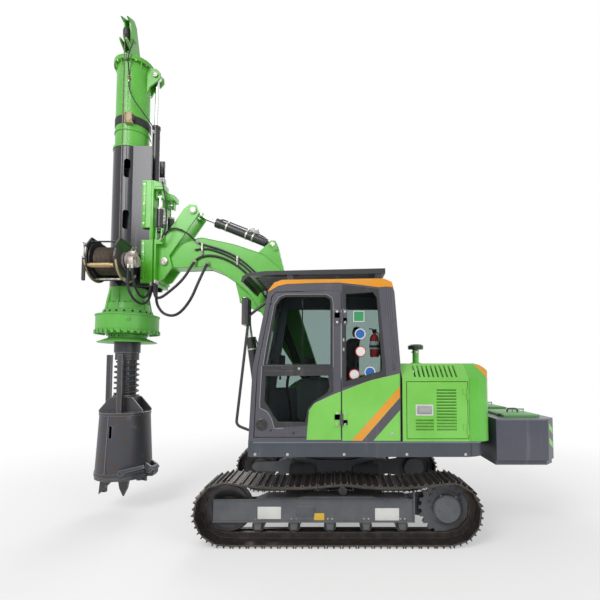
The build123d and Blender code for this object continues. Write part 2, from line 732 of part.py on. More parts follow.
door_opening = (
    (DOOR_HINGE_X, 1045), (798, 1045), (770, 1721), (632, 2450), (590, 2500), (DOOR_HINGE_X, 2520),
)
door_outline = (
    (DOOR_HINGE_X + DOOR_GAP, 1052), (790, 1052), (762, 1721), (624, 2444), (586, 2492),
    (DOOR_HINGE_X + DOOR_GAP, 2512),
)
door_upper_window = (
    (18, 1752), (700, 1752), (674, 1930), (594, 2372), (550, 2440), (486, 2466), (80, 2466), (30, 2436), (18, 2383),
)
door_lower_window = (
    (22, 1712), (700, 1712), (716, 1360), (646, 1300), (606, 1230), (578, 1160), (285, 1176), (262, 1318), (206, 1394),
    (22, 1500),
)
quarter_window = ((-110, 1590), (-110, 2486), (-396, 2506), (-440, 2444), (-490, 1770), (-484, 1690))
windshield_upper = ((230, 1735), (970, 1735), (970, 2440), (230, 2440))
windshield_lower = ((230, 1120), (970, 1120), (970, 1640), (230, 1640))
rear_window = ((240, 1880), (960, 1880), (960, 2440), (240, 2440))
right_window = ((-560, 1500), (-560, 2440), (560, 2440), (700, 1500))
with BuildPart() as cab_shell:
    with BuildSketch(side_plane(CAB_Y_OUTER)) as cab_face:
        add(inset(CAB_OUTLINE, 0))
    extrude(amount=CAB_Y_OUTER - CAB_Y_INNER)
    with BuildSketch(side_plane(CAB_Y_OUTER - CAB_WALL)) as cab_room:
        add(inset(CAB_OUTLINE, CAB_WALL))
    extrude(amount=CAB_Y_OUTER - CAB_Y_INNER - 2 * CAB_WALL, mode=Mode.SUBTRACT)
    slab(door_opening, CAB_Y_OUTER - CAB_WALL - 1, CAB_Y_OUTER + 1, mode=Mode.SUBTRACT)
    slab(quarter_window, CAB_Y_OUTER - CAB_WALL - 1, CAB_Y_OUTER + 1, mode=Mode.SUBTRACT)
    slab(right_window, CAB_Y_INNER - 1, CAB_Y_INNER + CAB_WALL + 1, mode=Mode.SUBTRACT)
    cross_slab(windshield_upper, 560, 900, mode=Mode.SUBTRACT)
    cross_slab(windshield_lower, 700, 900, mode=Mode.SUBTRACT)
    cross_slab(rear_window, -700, -500, mode=Mode.SUBTRACT)
    for z in DOOR_HINGE_ZS:
        knuckle(DOOR_HINGE_X, DOOR_HINGE_Y, (z - HINGE_LOW, z - 10.3), 15, DOOR_HINGE_X - 60, CAB_Y_OUTER)
        shaft(upright(DOOR_HINGE_X, DOOR_HINGE_Y), 6, z - HINGE_LOW, z + HINGE_HIGH - 5)
write(cab_shell, "cab_shell")


def wall_x(edge, z):
    """Place along X of a sloping cab edge, given by its two ends, at a height."""
    (x_low, z_low), (x_high, z_high) = edge
    return x_low + (z - z_low) * (x_high - x_low) / (z_high - z_low)


def leaning_pane(edge, inset_by, window):
    """Pane in a sloping end wall: window is its (y, z) rectangle, inset_by its depth behind the edge."""
    ys = [y for y, z in window]
    zs = [z for y, z in window]
    low, high = min(zs), max(zs)
    outline = (
        (wall_x(edge, low) - inset_by, low), (wall_x(edge, low) - inset_by + GLASS, low),
        (wall_x(edge, high) - inset_by + GLASS, high), (wall_x(edge, high) - inset_by, high),
    )
    slab(outline, min(ys), max(ys))


with BuildPart() as cab_glass:
    pane_depth = 22
    leaning_pane(CAB_OUTLINE[1:3], pane_depth, windshield_upper)
    leaning_pane(CAB_OUTLINE[0:2], pane_depth, windshield_lower)
    leaning_pane(CAB_OUTLINE[7:9], GLASS - pane_depth, rear_window)
    slab(quarter_window, CAB_Y_OUTER - pane_depth, CAB_Y_OUTER - pane_depth + GLASS)
    slab(right_window, CAB_Y_INNER + pane_depth - GLASS, CAB_Y_INNER + pane_depth)
write(cab_glass, "cab_glass")

with BuildPart() as door_glass:
    for window in (door_upper_window, door_lower_window):
        slab(window, CAB_Y_OUTER - pane_depth, CAB_Y_OUTER - pane_depth + GLASS, round_by=WINDOW_ROUND)
write(door_glass, "door_glass")

def roof_z(x):
    """Height of the cab's roof at x."""
    (x_front, z_front), (x_rear, z_rear) = CAB_OUTLINE[4:6]
    return z_front + (x - x_front) * (z_rear - z_front) / (x_rear - x_front)


guard_side = (
    (-523, 2696), (-523, 2749), (700, 2720), (880, 2700), (935, 2665), (950, 2610), (925, 2600), (905, 2640),
    (860, 2668), (690, 2680),
)
guard_zs = sorted(z for x, z in guard_side)
with BuildPart() as cab_guard:
    slab(guard_side, CAB_Y_INNER + 30, CAB_Y_OUTER - 30)
    for slot in range(GUARD_SLOT_COUNT):
        y_low = CAB_Y_INNER + 75 + slot * GUARD_SLOT_PITCH
        block(GUARD_SLOT_X, (y_low, y_low + GUARD_SLOT), (guard_zs[0] - 1, guard_zs[-1] + 1), mode=Mode.SUBTRACT)
    for x_low in (-480, 420):
        x_high = x_low + 60
        for y_low in (CAB_Y_INNER + 40, CAB_Y_OUTER - 75):
            slab(((x_low, roof_z(x_low)), (x_high, roof_z(x_high)), (x_high, GUARD_SEAT_Z),
                  (x_low, GUARD_SEAT_Z)), y_low, y_low + GUARD_FOOT)
write(cab_guard, "cab_guard")

rail_route = ((849, 1000, 1114), (978, 1000, 1164), (862, 1000, 2260), (699, 1000, 2392))
with BuildPart() as handrail_mirror:
    with BuildLine() as rail_path:
        FilletPolyline(*rail_route, radius=60)
    with BuildSketch(Plane(origin=rail_path.line @ 0, z_dir=rail_path.line % 0)):
        Circle(14)
    sweep(path=rail_path.line)
    with Locations((885, 1010, 2297)):
        Box(60, 170, 270)
write(handrail_mirror, "handrail_mirror")

with BuildPart() as cab_door:
    slab(door_outline, CAB_Y_OUTER - DOOR_THICKNESS, CAB_Y_OUTER)
    for window in (door_upper_window, door_lower_window):
        slab(window, CAB_Y_OUTER - DOOR_THICKNESS - 1, CAB_Y_OUTER + 1, round_by=WINDOW_ROUND, mode=Mode.SUBTRACT)
    for z in DOOR_HINGE_ZS:
        knuckle(DOOR_HINGE_X, DOOR_HINGE_Y, (z - 10, z + HINGE_HIGH), 15, DOOR_HINGE_X + 70, CAB_Y_OUTER)
        shaft(upright(DOOR_HINGE_X, DOOR_HINGE_Y), 6 + PIN_CLEARANCE, z - 11, z + HINGE_HIGH + 1, mode=Mode.SUBTRACT)
write(cab_door, "cab_door")

with BuildPart() as engine_hood:
    hood_ring = (
        (-DECK_HALF_WIDTH, DECK_TOP), (-DECK_HALF_WIDTH, HOOD_CREASE), (-HOOD_SHOULDER, HOOD_TOP),
        (HOOD_SHOULDER, HOOD_TOP), (DECK_HALF_WIDTH, HOOD_CREASE), (DECK_HALF_WIDTH, DECK_TOP),
    )
    hood_room = (
        (-DECK_HALF_WIDTH + HOOD_WALL, DECK_TOP - 1), (-DECK_HALF_WIDTH + HOOD_WALL, HOOD_CREASE - 18),
        (-HOOD_SHOULDER + 12, HOOD_TOP - HOOD_WALL), (HOOD_SHOULDER - 12, HOOD_TOP - HOOD_WALL),
        (DECK_HALF_WIDTH - HOOD_WALL, HOOD_CREASE - 18), (DECK_HALF_WIDTH - HOOD_WALL, DECK_TOP - 1),
    )
    cross_slab(hood_ring, HOOD_REAR, HOOD_FRONT)
    cross_slab(hood_room, HOOD_REAR + HOOD_WALL, HOOD_FRONT - HOOD_WALL, mode=Mode.SUBTRACT)
    block((HOOD_REAR + 12, HOOD_FRONT - 40), (-DECK_HALF_WIDTH - 1, DECK_HALF_WIDTH + 1),
          (HOOD_DOOR_BOTTOM, HOOD_DOOR_TOP), mode=Mode.SUBTRACT)
    slot_x, slot_width, slot_pitch, slot_count = SHOULDER_SLOT
    for side, sign in sides:
        for number in range(slot_count):
            x_low = slot_x + number * slot_pitch
            block((x_low, x_low + slot_width), sorted((sign * (HOOD_SHOULDER + 20), sign * (DECK_HALF_WIDTH + 1))),
                  (HOOD_CREASE + 8, HOOD_TOP - 24), mode=Mode.SUBTRACT)
        for z in HOOD_HINGE_ZS:
            knuckle(HOOD_HINGE_X, sign * HOOD_HINGE_Y, (z - HINGE_LOW, z - 10.3), 8, HOOD_HINGE_X - 17,
                    sign * DECK_HALF_WIDTH)
            shaft(upright(HOOD_HINGE_X, sign * HOOD_HINGE_Y), 3, z - HINGE_LOW, z + HINGE_HIGH - 5)
write(engine_hood, "engine_hood")

for side, sign in sides:
    with BuildPart() as hood_door:
        edges = sorted((sign * DECK_HALF_WIDTH, sign * (DECK_HALF_WIDTH - HOOD_WALL)))
        block((HOOD_REAR + 12 + DOOR_GAP, HOOD_FRONT - 40 - DOOR_GAP), edges,
              (HOOD_DOOR_BOTTOM + DOOR_GAP, HOOD_DOOR_TOP - DOOR_GAP))
        for x_low, width, z_low, height, pitch, count in (HIGH_GRILLE, LOW_GRILLE):
            for number in range(count):
                z = z_low + number * pitch
                block((x_low, x_low + width), (edges[0] - 1, edges[1] + 1), (z, z + height), mode=Mode.SUBTRACT)
        for z in HOOD_HINGE_ZS:
            knuckle(HOOD_HINGE_X, sign * HOOD_HINGE_Y, (z - 10, z + HINGE_HIGH), 8, HOOD_HINGE_X + 45,
                    sign * DECK_HALF_WIDTH)
            shaft(upright(HOOD_HINGE_X, sign * HOOD_HINGE_Y), 3 + PIN_CLEARANCE, z - 11, z + HINGE_HIGH + 1,
                  mode=Mode.SUBTRACT)
    write(hood_door, f"hood_door_{side}")

with BuildPart() as engine_block:
    block(ENGINE_X, ENGINE_Y, (DECK_TOP, ENGINE_TOP))
write(engine_block, "engine_block")

with BuildPart() as counterweight:
    cross_slab(hood_ring, CWT_REAR, HOOD_REAR - 0.5)
    with BuildSketch(Plane.XY.offset(DECK_TOP)) as cwt_plan:
        with Locations(((CWT_REAR + HOOD_REAR) / 2 - 0.25, 0)):
            Rectangle(HOOD_REAR - CWT_REAR - 0.5, 2 * DECK_HALF_WIDTH)
        fillet(cwt_plan.vertices().group_by(Axis.X)[0], radius=CWT_ROUND)
    extrude(cwt_plan.sketch, amount=HOOD_TOP - DECK_TOP, mode=Mode.INTERSECT)
    with BuildSketch(side_plane(DECK_HALF_WIDTH)) as cwt_side:
        Polygon((CWT_REAR, DECK_TOP), (HOOD_REAR - 0.5, DECK_TOP), (HOOD_REAR - 0.5, HOOD_TOP), (CWT_REAR, HOOD_TOP),
                align=None)
        fillet(cwt_side.vertices().group_by(Axis.X)[0].sort_by(Axis.Y)[-1], radius=CWT_TOP_ROUND)
    extrude(cwt_side.sketch, amount=2 * DECK_HALF_WIDTH, mode=Mode.INTERSECT)
write(counterweight, "counterweight")

with BuildPart() as exhaust_stack:
    turned(
        ((0, HOOD_TOP), (60, HOOD_TOP), (60, HOOD_TOP + 12), (36, HOOD_TOP + 16), (36, 1945), (84, 1950),
         (84, 1992), (60, 2006), (0, 2006)),
        upright(-944, 400),
    )
write(exhaust_stack, "exhaust_stack")

tank_outline = (
    (-676, DECK_TOP), (-676, 1640), (-150, 1640), (-60, 1560), (500, 1560), (600, 1480),
    (800, 1240), (800, DECK_TOP),
)
with BuildPart() as right_tanks:
    slab(tank_outline, -DECK_HALF_WIDTH, -190)
write(right_tanks, "right_tanks")

with BuildPart() as rear_box:
    plan = (
        (BOX_FRONT, -BOX_HALF_WIDTH), (BOX_FRONT, BOX_HALF_WIDTH), (BOX_REAR + 105, BOX_HALF_WIDTH),
        (BOX_REAR, BOX_HALF_WIDTH - 105), (BOX_REAR, -BOX_HALF_WIDTH + 105), (BOX_REAR + 105, -BOX_HALF_WIDTH),
    )
    deck_slab(plan, BOX_BOTTOM, BOX_TOP)
    deck_slab([(x * 0.995 - 8, y * 0.96) for x, y in plan], BOX_BOTTOM - BOX_BASE, BOX_BOTTOM)
    for sign in (1, -1):
        bin_y = sorted((sign * BIN_Y[0], sign * BIN_Y[1]))
        block(BIN_X, bin_y, (BOX_BOTTOM + BOX_WALL, BOX_TOP + 1), mode=Mode.SUBTRACT)
        arm_y = sorted((sign * 300, sign * 380))
        block((BOX_FRONT - 1, DECK_REAR), arm_y, (870, 1000))
        for hinge_y in LID_HINGE_YS:
            pin = across(LID_HINGE_X, LID_HINGE_Z, sign * hinge_y)
            shaft(pin, LID_HINGE_RADIUS, -LID_KNUCKLE, -SIDE_GAP)
            shaft(pin, LID_PIN_RADIUS, -LID_KNUCKLE, LID_KNUCKLE)
            block((LID_HINGE_X, LID_HINGE_X + 24), (sign * hinge_y - LID_KNUCKLE, sign * hinge_y - SIDE_GAP),
                  (BOX_TOP - 1, LID_HINGE_Z))
write(rear_box, "rear_box")

for side, sign in sides:
    with BuildPart() as box_lid:
        lid_top = BOX_TOP + LID_GAP + LID_THICKNESS
        lid_rear = BIN_X[0] - LID_MARGIN
        y_inner, y_outer = BIN_Y[0] - LID_MARGIN, BIN_Y[1] + LID_MARGIN
        lid_plan = ((LID_HINGE_X, y_inner), (LID_HINGE_X, y_outer), (lid_rear + 70, y_outer), (lid_rear, y_outer - 70),
                    (lid_rear, y_inner))
        deck_slab([(x, sign * y) for x, y in lid_plan], BOX_TOP + LID_GAP, lid_top)
        handle_x, handle_y = lid_rear + 120, sign * (y_inner + y_outer) / 2
        for end in (-HANDLE_HALF, HANDLE_HALF):
            shaft(upright(handle_x + end, handle_y), HANDLE_POST_RADIUS, lid_top - 2, lid_top + HANDLE_RISE)
        shaft(lengthwise(handle_y, lid_top + HANDLE_RISE), HANDLE_RADIUS, handle_x - HANDLE_HALF - HANDLE_RADIUS,
              handle_x + HANDLE_HALF + HANDLE_RADIUS)
        for hinge_y in LID_HINGE_YS:
            pin = across(LID_HINGE_X, LID_HINGE_Z, sign * hinge_y)
            block((LID_HINGE_X - LID_HINGE_RADIUS - 6, LID_HINGE_X + 1),
                  (sign * hinge_y - LID_KNUCKLE - 4, sign * hinge_y), (BOX_TOP, LID_HINGE_Z), mode=Mode.SUBTRACT)
            shaft(pin, LID_HINGE_RADIUS, 0, LID_KNUCKLE)
            shaft(pin, LID_PIN_RADIUS + PIN_CLEARANCE, -1, LID_KNUCKLE + 1, mode=Mode.SUBTRACT)
    write(box_lid, f"box_lid_{side}")

with BuildPart() as cab_seat:
    seat_foot = DECK_TOP + CAB_WALL + SIDE_GAP
    cushion_low = seat_foot + SEAT_BASE_HEIGHT
    cushion_top = cushion_low + SEAT_CUSHION
    slab(((SEAT_X, seat_foot), (SEAT_X + SEAT_LENGTH - 60, seat_foot), (SEAT_X + SEAT_LENGTH - 60, cushion_low - 150),
          (SEAT_X + SEAT_LENGTH, cushion_low + 80), (SEAT_X + SEAT_LENGTH, cushion_top), (SEAT_X + 100, cushion_top),
          (SEAT_X - 20, SEAT_BACK_TOP), (SEAT_X - 150, SEAT_BACK_TOP), (SEAT_X - 80, cushion_low),
          (SEAT_X, cushion_low - 150)), *SEAT_Y)
write(cab_seat, "cab_seat")

# Boom
tip_x, tip_z = BOOM_TIP
boom_outline = (
    (foot_x - 95, foot_z), (foot_x - 60, foot_z + 200), (460, 2500), (652, 2955), (873, 3147), (1230, 3270),
    (1667, 3363), (1880, 3290), (tip_x + 20, tip_z + TIP_BOSS - 4), (tip_x, tip_z), (tip_x - 10, tip_z - TIP_BOSS),
    (1850, 2985), (1572, 2999), (1400, 2930), (1220, 2808), (1062, 2672), (925, 2462), (foot_x + 110, foot_z + 120),
    (foot_x + 95, foot_z), (foot_x, foot_z - 95),
)
with BuildPart() as boom:
    slab(boom_outline, -BOOM_HALF_WIDTH, BOOM_HALF_WIDTH)
    shaft(across(*BOOM_TIP), TIP_BOSS, -BOOM_HALF_WIDTH, BOOM_HALF_WIDTH)
    shaft(across(*BOOM_FOOT), BOOM_PIN_RADIUS + PIN_CLEARANCE, -BOOM_HALF_WIDTH - 1, BOOM_HALF_WIDTH + 1,
          mode=Mode.SUBTRACT)
    shaft(across(*BOOM_TIP), BOOM_PIN_RADIUS + PIN_CLEARANCE, -BOOM_HALF_WIDTH - 1, BOOM_HALF_WIDTH + 1,
          mode=Mode.SUBTRACT)
    for sign in (1, -1):
        ear_inner = TILT_EYE_HALF + PIN_SIDE_GAP
        ear = sorted((sign * ear_inner, sign * (ear_inner + LUG_PLATE)))
        slab(
            ((600, 2830), (TILT_FOOT[0] - 58, TILT_FOOT[1] + 4), (TILT_FOOT[0] - 30, TILT_FOOT[1] + 50),
             (TILT_FOOT[0] + 24, TILT_FOOT[1] + 54), (TILT_FOOT[0] + 56, TILT_FOOT[1] + 14), (1000, 3150)),
            ear[0], ear[1],
        )
        lug_inner = LIFT_EYE_HALF + PIN_SIDE_GAP
        lug = sorted((sign * lug_inner, sign * (lug_inner + LUG_PLATE)))
        slab(
            ((930, 2440), (LIFT_EYE[0] - 10, LIFT_EYE[1] - 66), (LIFT_EYE[0] + 60, LIFT_EYE[1] - 30),
             (LIFT_EYE[0] + 66, LIFT_EYE[1] + 20), (1240, 2830), (1040, 2640)),
            lug[0], lug[1],
        )
        shaft(across(*LIFT_EYE), EYE_PIN_RADIUS + 16, sign * (lug_inner + LUG_PLATE) - 0.01 * sign,
              sign * (lug_inner + LUG_PLATE + 12))
    shaft(across(*TILT_FOOT), EYE_PIN_RADIUS, -TILT_EYE_HALF - LUG_PLATE - 12, TILT_EYE_HALF + LUG_PLATE + 12)
write(boom, "boom")


def cylinder_barrel(start, end, bore_radius, rod_radius, length, eye_half):
    """Barrel with its foot eye, gland and the room that its rod slides in."""
    at = aimed(start, end)
    shaft(at, bore_radius, 95, length - 60)
    shaft(at, bore_radius + 7, length - 60, length)
    shaft(across(*start), EYE_RADIUS, -eye_half, eye_half)
    shaft(at, eye_half - 3, 30, 100)
    shaft(across(*start), EYE_PIN_RADIUS + PIN_CLEARANCE, -eye_half - 1, eye_half + 1, mode=Mode.SUBTRACT)
    shaft(at, rod_radius + ROD_CLEARANCE, 115, length + 1, mode=Mode.SUBTRACT)


def cylinder_rod(start, end, rod_radius, length, eye_half, rod_hidden):
    """Rod with its eye, down to its hidden end inside the barrel."""
    at = aimed(start, end)
    shaft(at, rod_radius, length - rod_hidden, reach(start, end) - 20)
    shaft(across(*end), EYE_RADIUS, -eye_half, eye_half)


with BuildPart() as lift_barrel:
    cylinder_barrel(LIFT_FOOT, LIFT_EYE, LIFT_BORE_RADIUS, LIFT_ROD_RADIUS, LIFT_BARREL_LENGTH, LIFT_EYE_HALF)
write(lift_barrel, "lift_barrel")
with BuildPart() as lift_rod:
    cylinder_rod(LIFT_FOOT, LIFT_EYE, LIFT_ROD_RADIUS, LIFT_BARREL_LENGTH, LIFT_EYE_HALF, LIFT_ROD_HIDDEN)
write(lift_rod, "lift_rod")
with BuildPart() as tilt_barrel:
    cylinder_barrel(TILT_FOOT, LEVER_PIN, TILT_BORE_RADIUS, TILT_ROD_RADIUS, TILT_BARREL_LENGTH, TILT_EYE_HALF)
write(tilt_barrel, "tilt_barrel")
with BuildPart() as tilt_rod:
    cylinder_rod(TILT_FOOT, LEVER_PIN, TILT_ROD_RADIUS, TILT_BARREL_LENGTH, TILT_EYE_HALF, TILT_ROD_HIDDEN)
write(tilt_rod, "tilt_rod")

# Carrier: cheeks on the boom's tip, a lever for the tilt cylinder and a face for the roll pin
lever_x, lever_z = LEVER_PIN
cheek_outline = (
    (tip_x - 95, tip_z - 60), (tip_x - 60, tip_z + 80), (lever_x - 80, lever_z - 20),
    (lever_x - 50, lever_z + 70), (lever_x + 50, lever_z + 80), (lever_x + 120, lever_z + 20),
    (2120, 3330), (CARRIER_FACE_X - 5, 3300), (CARRIER_FACE_X - 5, 2800), (tip_x + 10, 2840),
)
with BuildPart() as carrier:
    for sign in (1, -1):
        edges = sorted((sign * CHEEK_INNER, sign * (CHEEK_INNER + CHEEK_PLATE)))
        slab(cheek_outline, edges[0], edges[1])
        boss = sorted((sign * (TILT_EYE_HALF + PIN_SIDE_GAP), sign * (CHEEK_INNER + CHEEK_PLATE + 14)))
        shaft(across(*LEVER_PIN), 46, boss[0], boss[1])
    block((CARRIER_FACE_X - CARRIER_PLATE, CARRIER_FACE_X), (-215, 215), (2800, 3300))
    block((CARRIER_FACE_X - 100, CARRIER_FACE_X), (-215, 215), (3250, 3300))
    shaft(across(*BOOM_TIP), BOOM_PIN_RADIUS, -CHEEK_INNER - CHEEK_PLATE - 16, CHEEK_INNER + CHEEK_PLATE + 16)
    shaft(lengthwise(0, ROLL_AXIS_Z), ROLL_PIN_RADIUS, CARRIER_FACE_X - 5, CARRIAGE_FACE_X + CARRIAGE_PLATE)
    for sign in (1, -1):
        for lug_mid in (-ROLL_EYE_HALF - 12, ROLL_EYE_HALF + 12):
            x_low = ROLL_CYLINDER_X + lug_mid - 9
            cross_slab(
                ((sign * ROLL_CYLINDER_Y - 42, 3295), (sign * ROLL_CYLINDER_Y - 30, ROLL_FOOT_Z + 30),
                 (sign * ROLL_CYLINDER_Y + 30, ROLL_FOOT_Z + 30), (sign * ROLL_CYLINDER_Y + 42, 3295)),
                x_low, x_low + 18,
            )
        shaft(lengthwise(sign * ROLL_CYLINDER_Y, ROLL_FOOT_Z), 16, ROLL_CYLINDER_X - ROLL_EYE_HALF - 24,
              ROLL_CYLINDER_X + ROLL_EYE_HALF + 20)
write(carrier, "carrier")

for side, sign in sides:
    at = upright(ROLL_CYLINDER_X, sign * ROLL_CYLINDER_Y, ROLL_FOOT_Z)
    eye = lengthwise(sign * ROLL_CYLINDER_Y, ROLL_FOOT_Z)
    head = lengthwise(sign * ROLL_CYLINDER_Y, ROLL_HEAD_Z)
    with BuildPart() as roll_barrel:
        shaft(at, ROLL_BORE_RADIUS, 45, ROLL_BARREL_LENGTH)
        shaft(at, 24, 20, 46)
        shaft(eye, ROLL_EYE_RADIUS - 8, ROLL_CYLINDER_X - ROLL_EYE_HALF, ROLL_CYLINDER_X + ROLL_EYE_HALF)
        shaft(eye, 16 + PIN_CLEARANCE, ROLL_CYLINDER_X - ROLL_EYE_HALF - 1, ROLL_CYLINDER_X + ROLL_EYE_HALF + 1,
              mode=Mode.SUBTRACT)
        shaft(at, ROLL_ROD_RADIUS + ROD_CLEARANCE, 60, ROLL_BARREL_LENGTH + 1, mode=Mode.SUBTRACT)
    write(roll_barrel, f"roll_barrel_{side}")
    with BuildPart() as roll_rod:
        shaft(at, ROLL_ROD_RADIUS, ROLL_BARREL_LENGTH - ROLL_ROD_HIDDEN, ROLL_HEAD_Z - ROLL_FOOT_Z - 15)
        shaft(head, ROLL_EYE_RADIUS - 8, ROLL_CYLINDER_X - ROLL_EYE_HALF, ROLL_CYLINDER_X + ROLL_EYE_HALF)
    write(roll_rod, f"roll_rod_{side}")

# Carriage
cheek_inner = GUIDE_HALF_WIDTH + GUIDE_GAP
cheek_outer = cheek_inner + GUIDE_CHEEK
with BuildPart() as carriage:
    plate_x = (CARRIAGE_FACE_X, CARRIAGE_FACE_X + CARRIAGE_PLATE)
    block(plate_x, (-cheek_outer, cheek_outer), (CARRIAGE_BOTTOM, CARRIAGE_TOP))
    for sign in (1, -1):
        edges = sorted((sign * cheek_inner, sign * cheek_outer))
        for z_span in (CHEEK_TOP_RANGE, CHEEK_LOW_RANGE):
            block((CARRIAGE_FACE_X, GUIDE_CHEEK_FRONT), edges, z_span)
    shaft(lengthwise(0, ROLL_AXIS_Z), ROLL_PIN_RADIUS + PIN_CLEARANCE, CARRIAGE_FACE_X - 1,
          CARRIAGE_FACE_X + CARRIAGE_PLATE + 1, mode=Mode.SUBTRACT)
    for sign in (1, -1):
        slab(((CARRIAGE_FACE_X + 1, BEAM_LOW_Z), (CARRIAGE_FACE_X + 1, CARRIAGE_TOP),
              (BEAM_REACH_X, CARRIAGE_TOP - BEAM_DROP), (BEAM_REACH_X, BEAM_LOW_Z)),
             *sorted((sign * BEAM_INNER_Y, sign * cheek_outer)))
    for sign in (1, -1):
        for lug_mid in (-ROLL_EYE_HALF - 14, ROLL_EYE_HALF + 14):
            x_low = ROLL_CYLINDER_X + lug_mid - 9
            cross_slab(
                ((sign * ROLL_CYLINDER_Y - 42, BEAM_LOW_Z + 5), (sign * ROLL_CYLINDER_Y - 30, ROLL_HEAD_Z - 26),
                 (sign * ROLL_CYLINDER_Y + 30, ROLL_HEAD_Z - 26), (sign * ROLL_CYLINDER_Y + 42, BEAM_LOW_Z + 5)),
                x_low, x_low + 18,
            )
write(carriage, "carriage")

with BuildPart() as crowd_barrel:
    at = upright(CROWD_X, 0)
    shaft(at, CROWD_BARREL_RADIUS, CROWD_BARREL_BOTTOM, CROWD_BARREL_TOP)
    for z_low in (CROWD_BARREL_BOTTOM, CROWD_CLAMP_TOP_Z):
        block((CARRIAGE_FACE_X + CARRIAGE_PLATE, CROWD_X), (-60, 60), (z_low, z_low + CROWD_CLAMP_HEIGHT))
    shaft(at, CROWD_ROD_RADIUS + ROD_CLEARANCE, CROWD_BARREL_BOTTOM + 60, CROWD_BARREL_TOP + 1,
          mode=Mode.SUBTRACT)
write(crowd_barrel, "crowd_barrel")

# Mast
with BuildPart() as mast_lower_tube:
    at = upright(MAST_X, 0)
    shaft(at, LOWER_TUBE_RADIUS, MAST_BOTTOM, TUBE_JOINT_Z)
    for sign in (1, -1):
        edges = sorted((sign * (GUIDE_HALF_WIDTH - RAIL_PLATE), sign * GUIDE_HALF_WIDTH))
        block((RAIL_REAR_X, RAIL_FRONT_X + 20), edges, (MAST_BOTTOM, TUBE_JOINT_Z - 20))
    shaft(at, LOWER_TUBE_RADIUS - TUBE_WALL, MAST_BOTTOM - 1, TUBE_JOINT_Z + 1, mode=Mode.SUBTRACT)
    with BuildSketch(side_plane(LOWER_TUBE_RADIUS + 1)) as slots:
        for drop in TUBE_SLOT_DROPS:
            with Locations((TUBE_SLOT_X, TUBE_JOINT_Z - drop)):
                SlotOverall(TUBE_SLOT_LENGTH, 2 * TUBE_SLOT_RADIUS, rotation=90)
    extrude(slots.sketch, amount=2 * LOWER_TUBE_RADIUS + 2, mode=Mode.SUBTRACT)
write(mast_lower_tube, "mast_lower_tube")

with BuildPart() as mast_upper_tube:
    at = upright(MAST_X, 0)
    shaft(at, UPPER_TUBE_RADIUS, TUBE_JOINT_Z, MAST_FLANGE_Z)
    shaft(at, UPPER_TUBE_RADIUS + 36, MAST_FLANGE_Z - 24, MAST_FLANGE_Z)
    ear_root = MAST_X - UPPER_TUBE_RADIUS + 40
    ear_outline = (
        (ear_root, CROWD_EAR_Z - EAR_DROP), (ear_root - 60, CROWD_EAR_Z - 160), (CROWD_X - 30, CROWD_EAR_Z - 72),
        (CROWD_X - 62, CROWD_EAR_Z - 30), (CROWD_X - 58, CROWD_EAR_Z + 34), (CROWD_X - 14, MAST_FLANGE_Z - 40),
        (ear_root, MAST_FLANGE_Z - 10),
    )
    for edges in ((-66, -44), (44, 66)):
        slab(ear_outline, edges[0], edges[1])
    for number in range(GUSSET_COUNT):
        rib = Plane(origin=(MAST_X, 0, MAST_FLANGE_Z)).rotated((0, 0, 360 / GUSSET_COUNT * (number + 0.5)))
        rib_face = Plane(origin=rib.origin, x_dir=rib.x_dir, z_dir=rib.y_dir)
        with BuildSketch(rib_face.offset(-6)) as rib_side:
            Polygon((UPPER_TUBE_RADIUS - 4, 23), (UPPER_TUBE_RADIUS + 32, 23), (UPPER_TUBE_RADIUS - 4, 120), align=None)
        extrude(rib_side.sketch, amount=12)
    shaft(at, UPPER_TUBE_RADIUS - TUBE_WALL, TUBE_JOINT_Z - 1, MAST_FLANGE_Z + 1, mode=Mode.SUBTRACT)
    shaft(across(CROWD_X, CROWD_EAR_Z), EYE_PIN_RADIUS, -78, 78)
write(mast_upper_tube, "mast_upper_tube")

with BuildPart() as crowd_rod:
    at = upright(CROWD_X, 0)
    shaft(at, CROWD_ROD_RADIUS, CROWD_ROD_BOTTOM, CROWD_EAR_Z - 20)
    shaft(across(CROWD_X, CROWD_EAR_Z), 46, -43.7, 43.7)
    shaft(across(CROWD_X, CROWD_EAR_Z), EYE_PIN_RADIUS + PIN_CLEARANCE, -45, 45, mode=Mode.SUBTRACT)
write(crowd_rod, "crowd_rod")

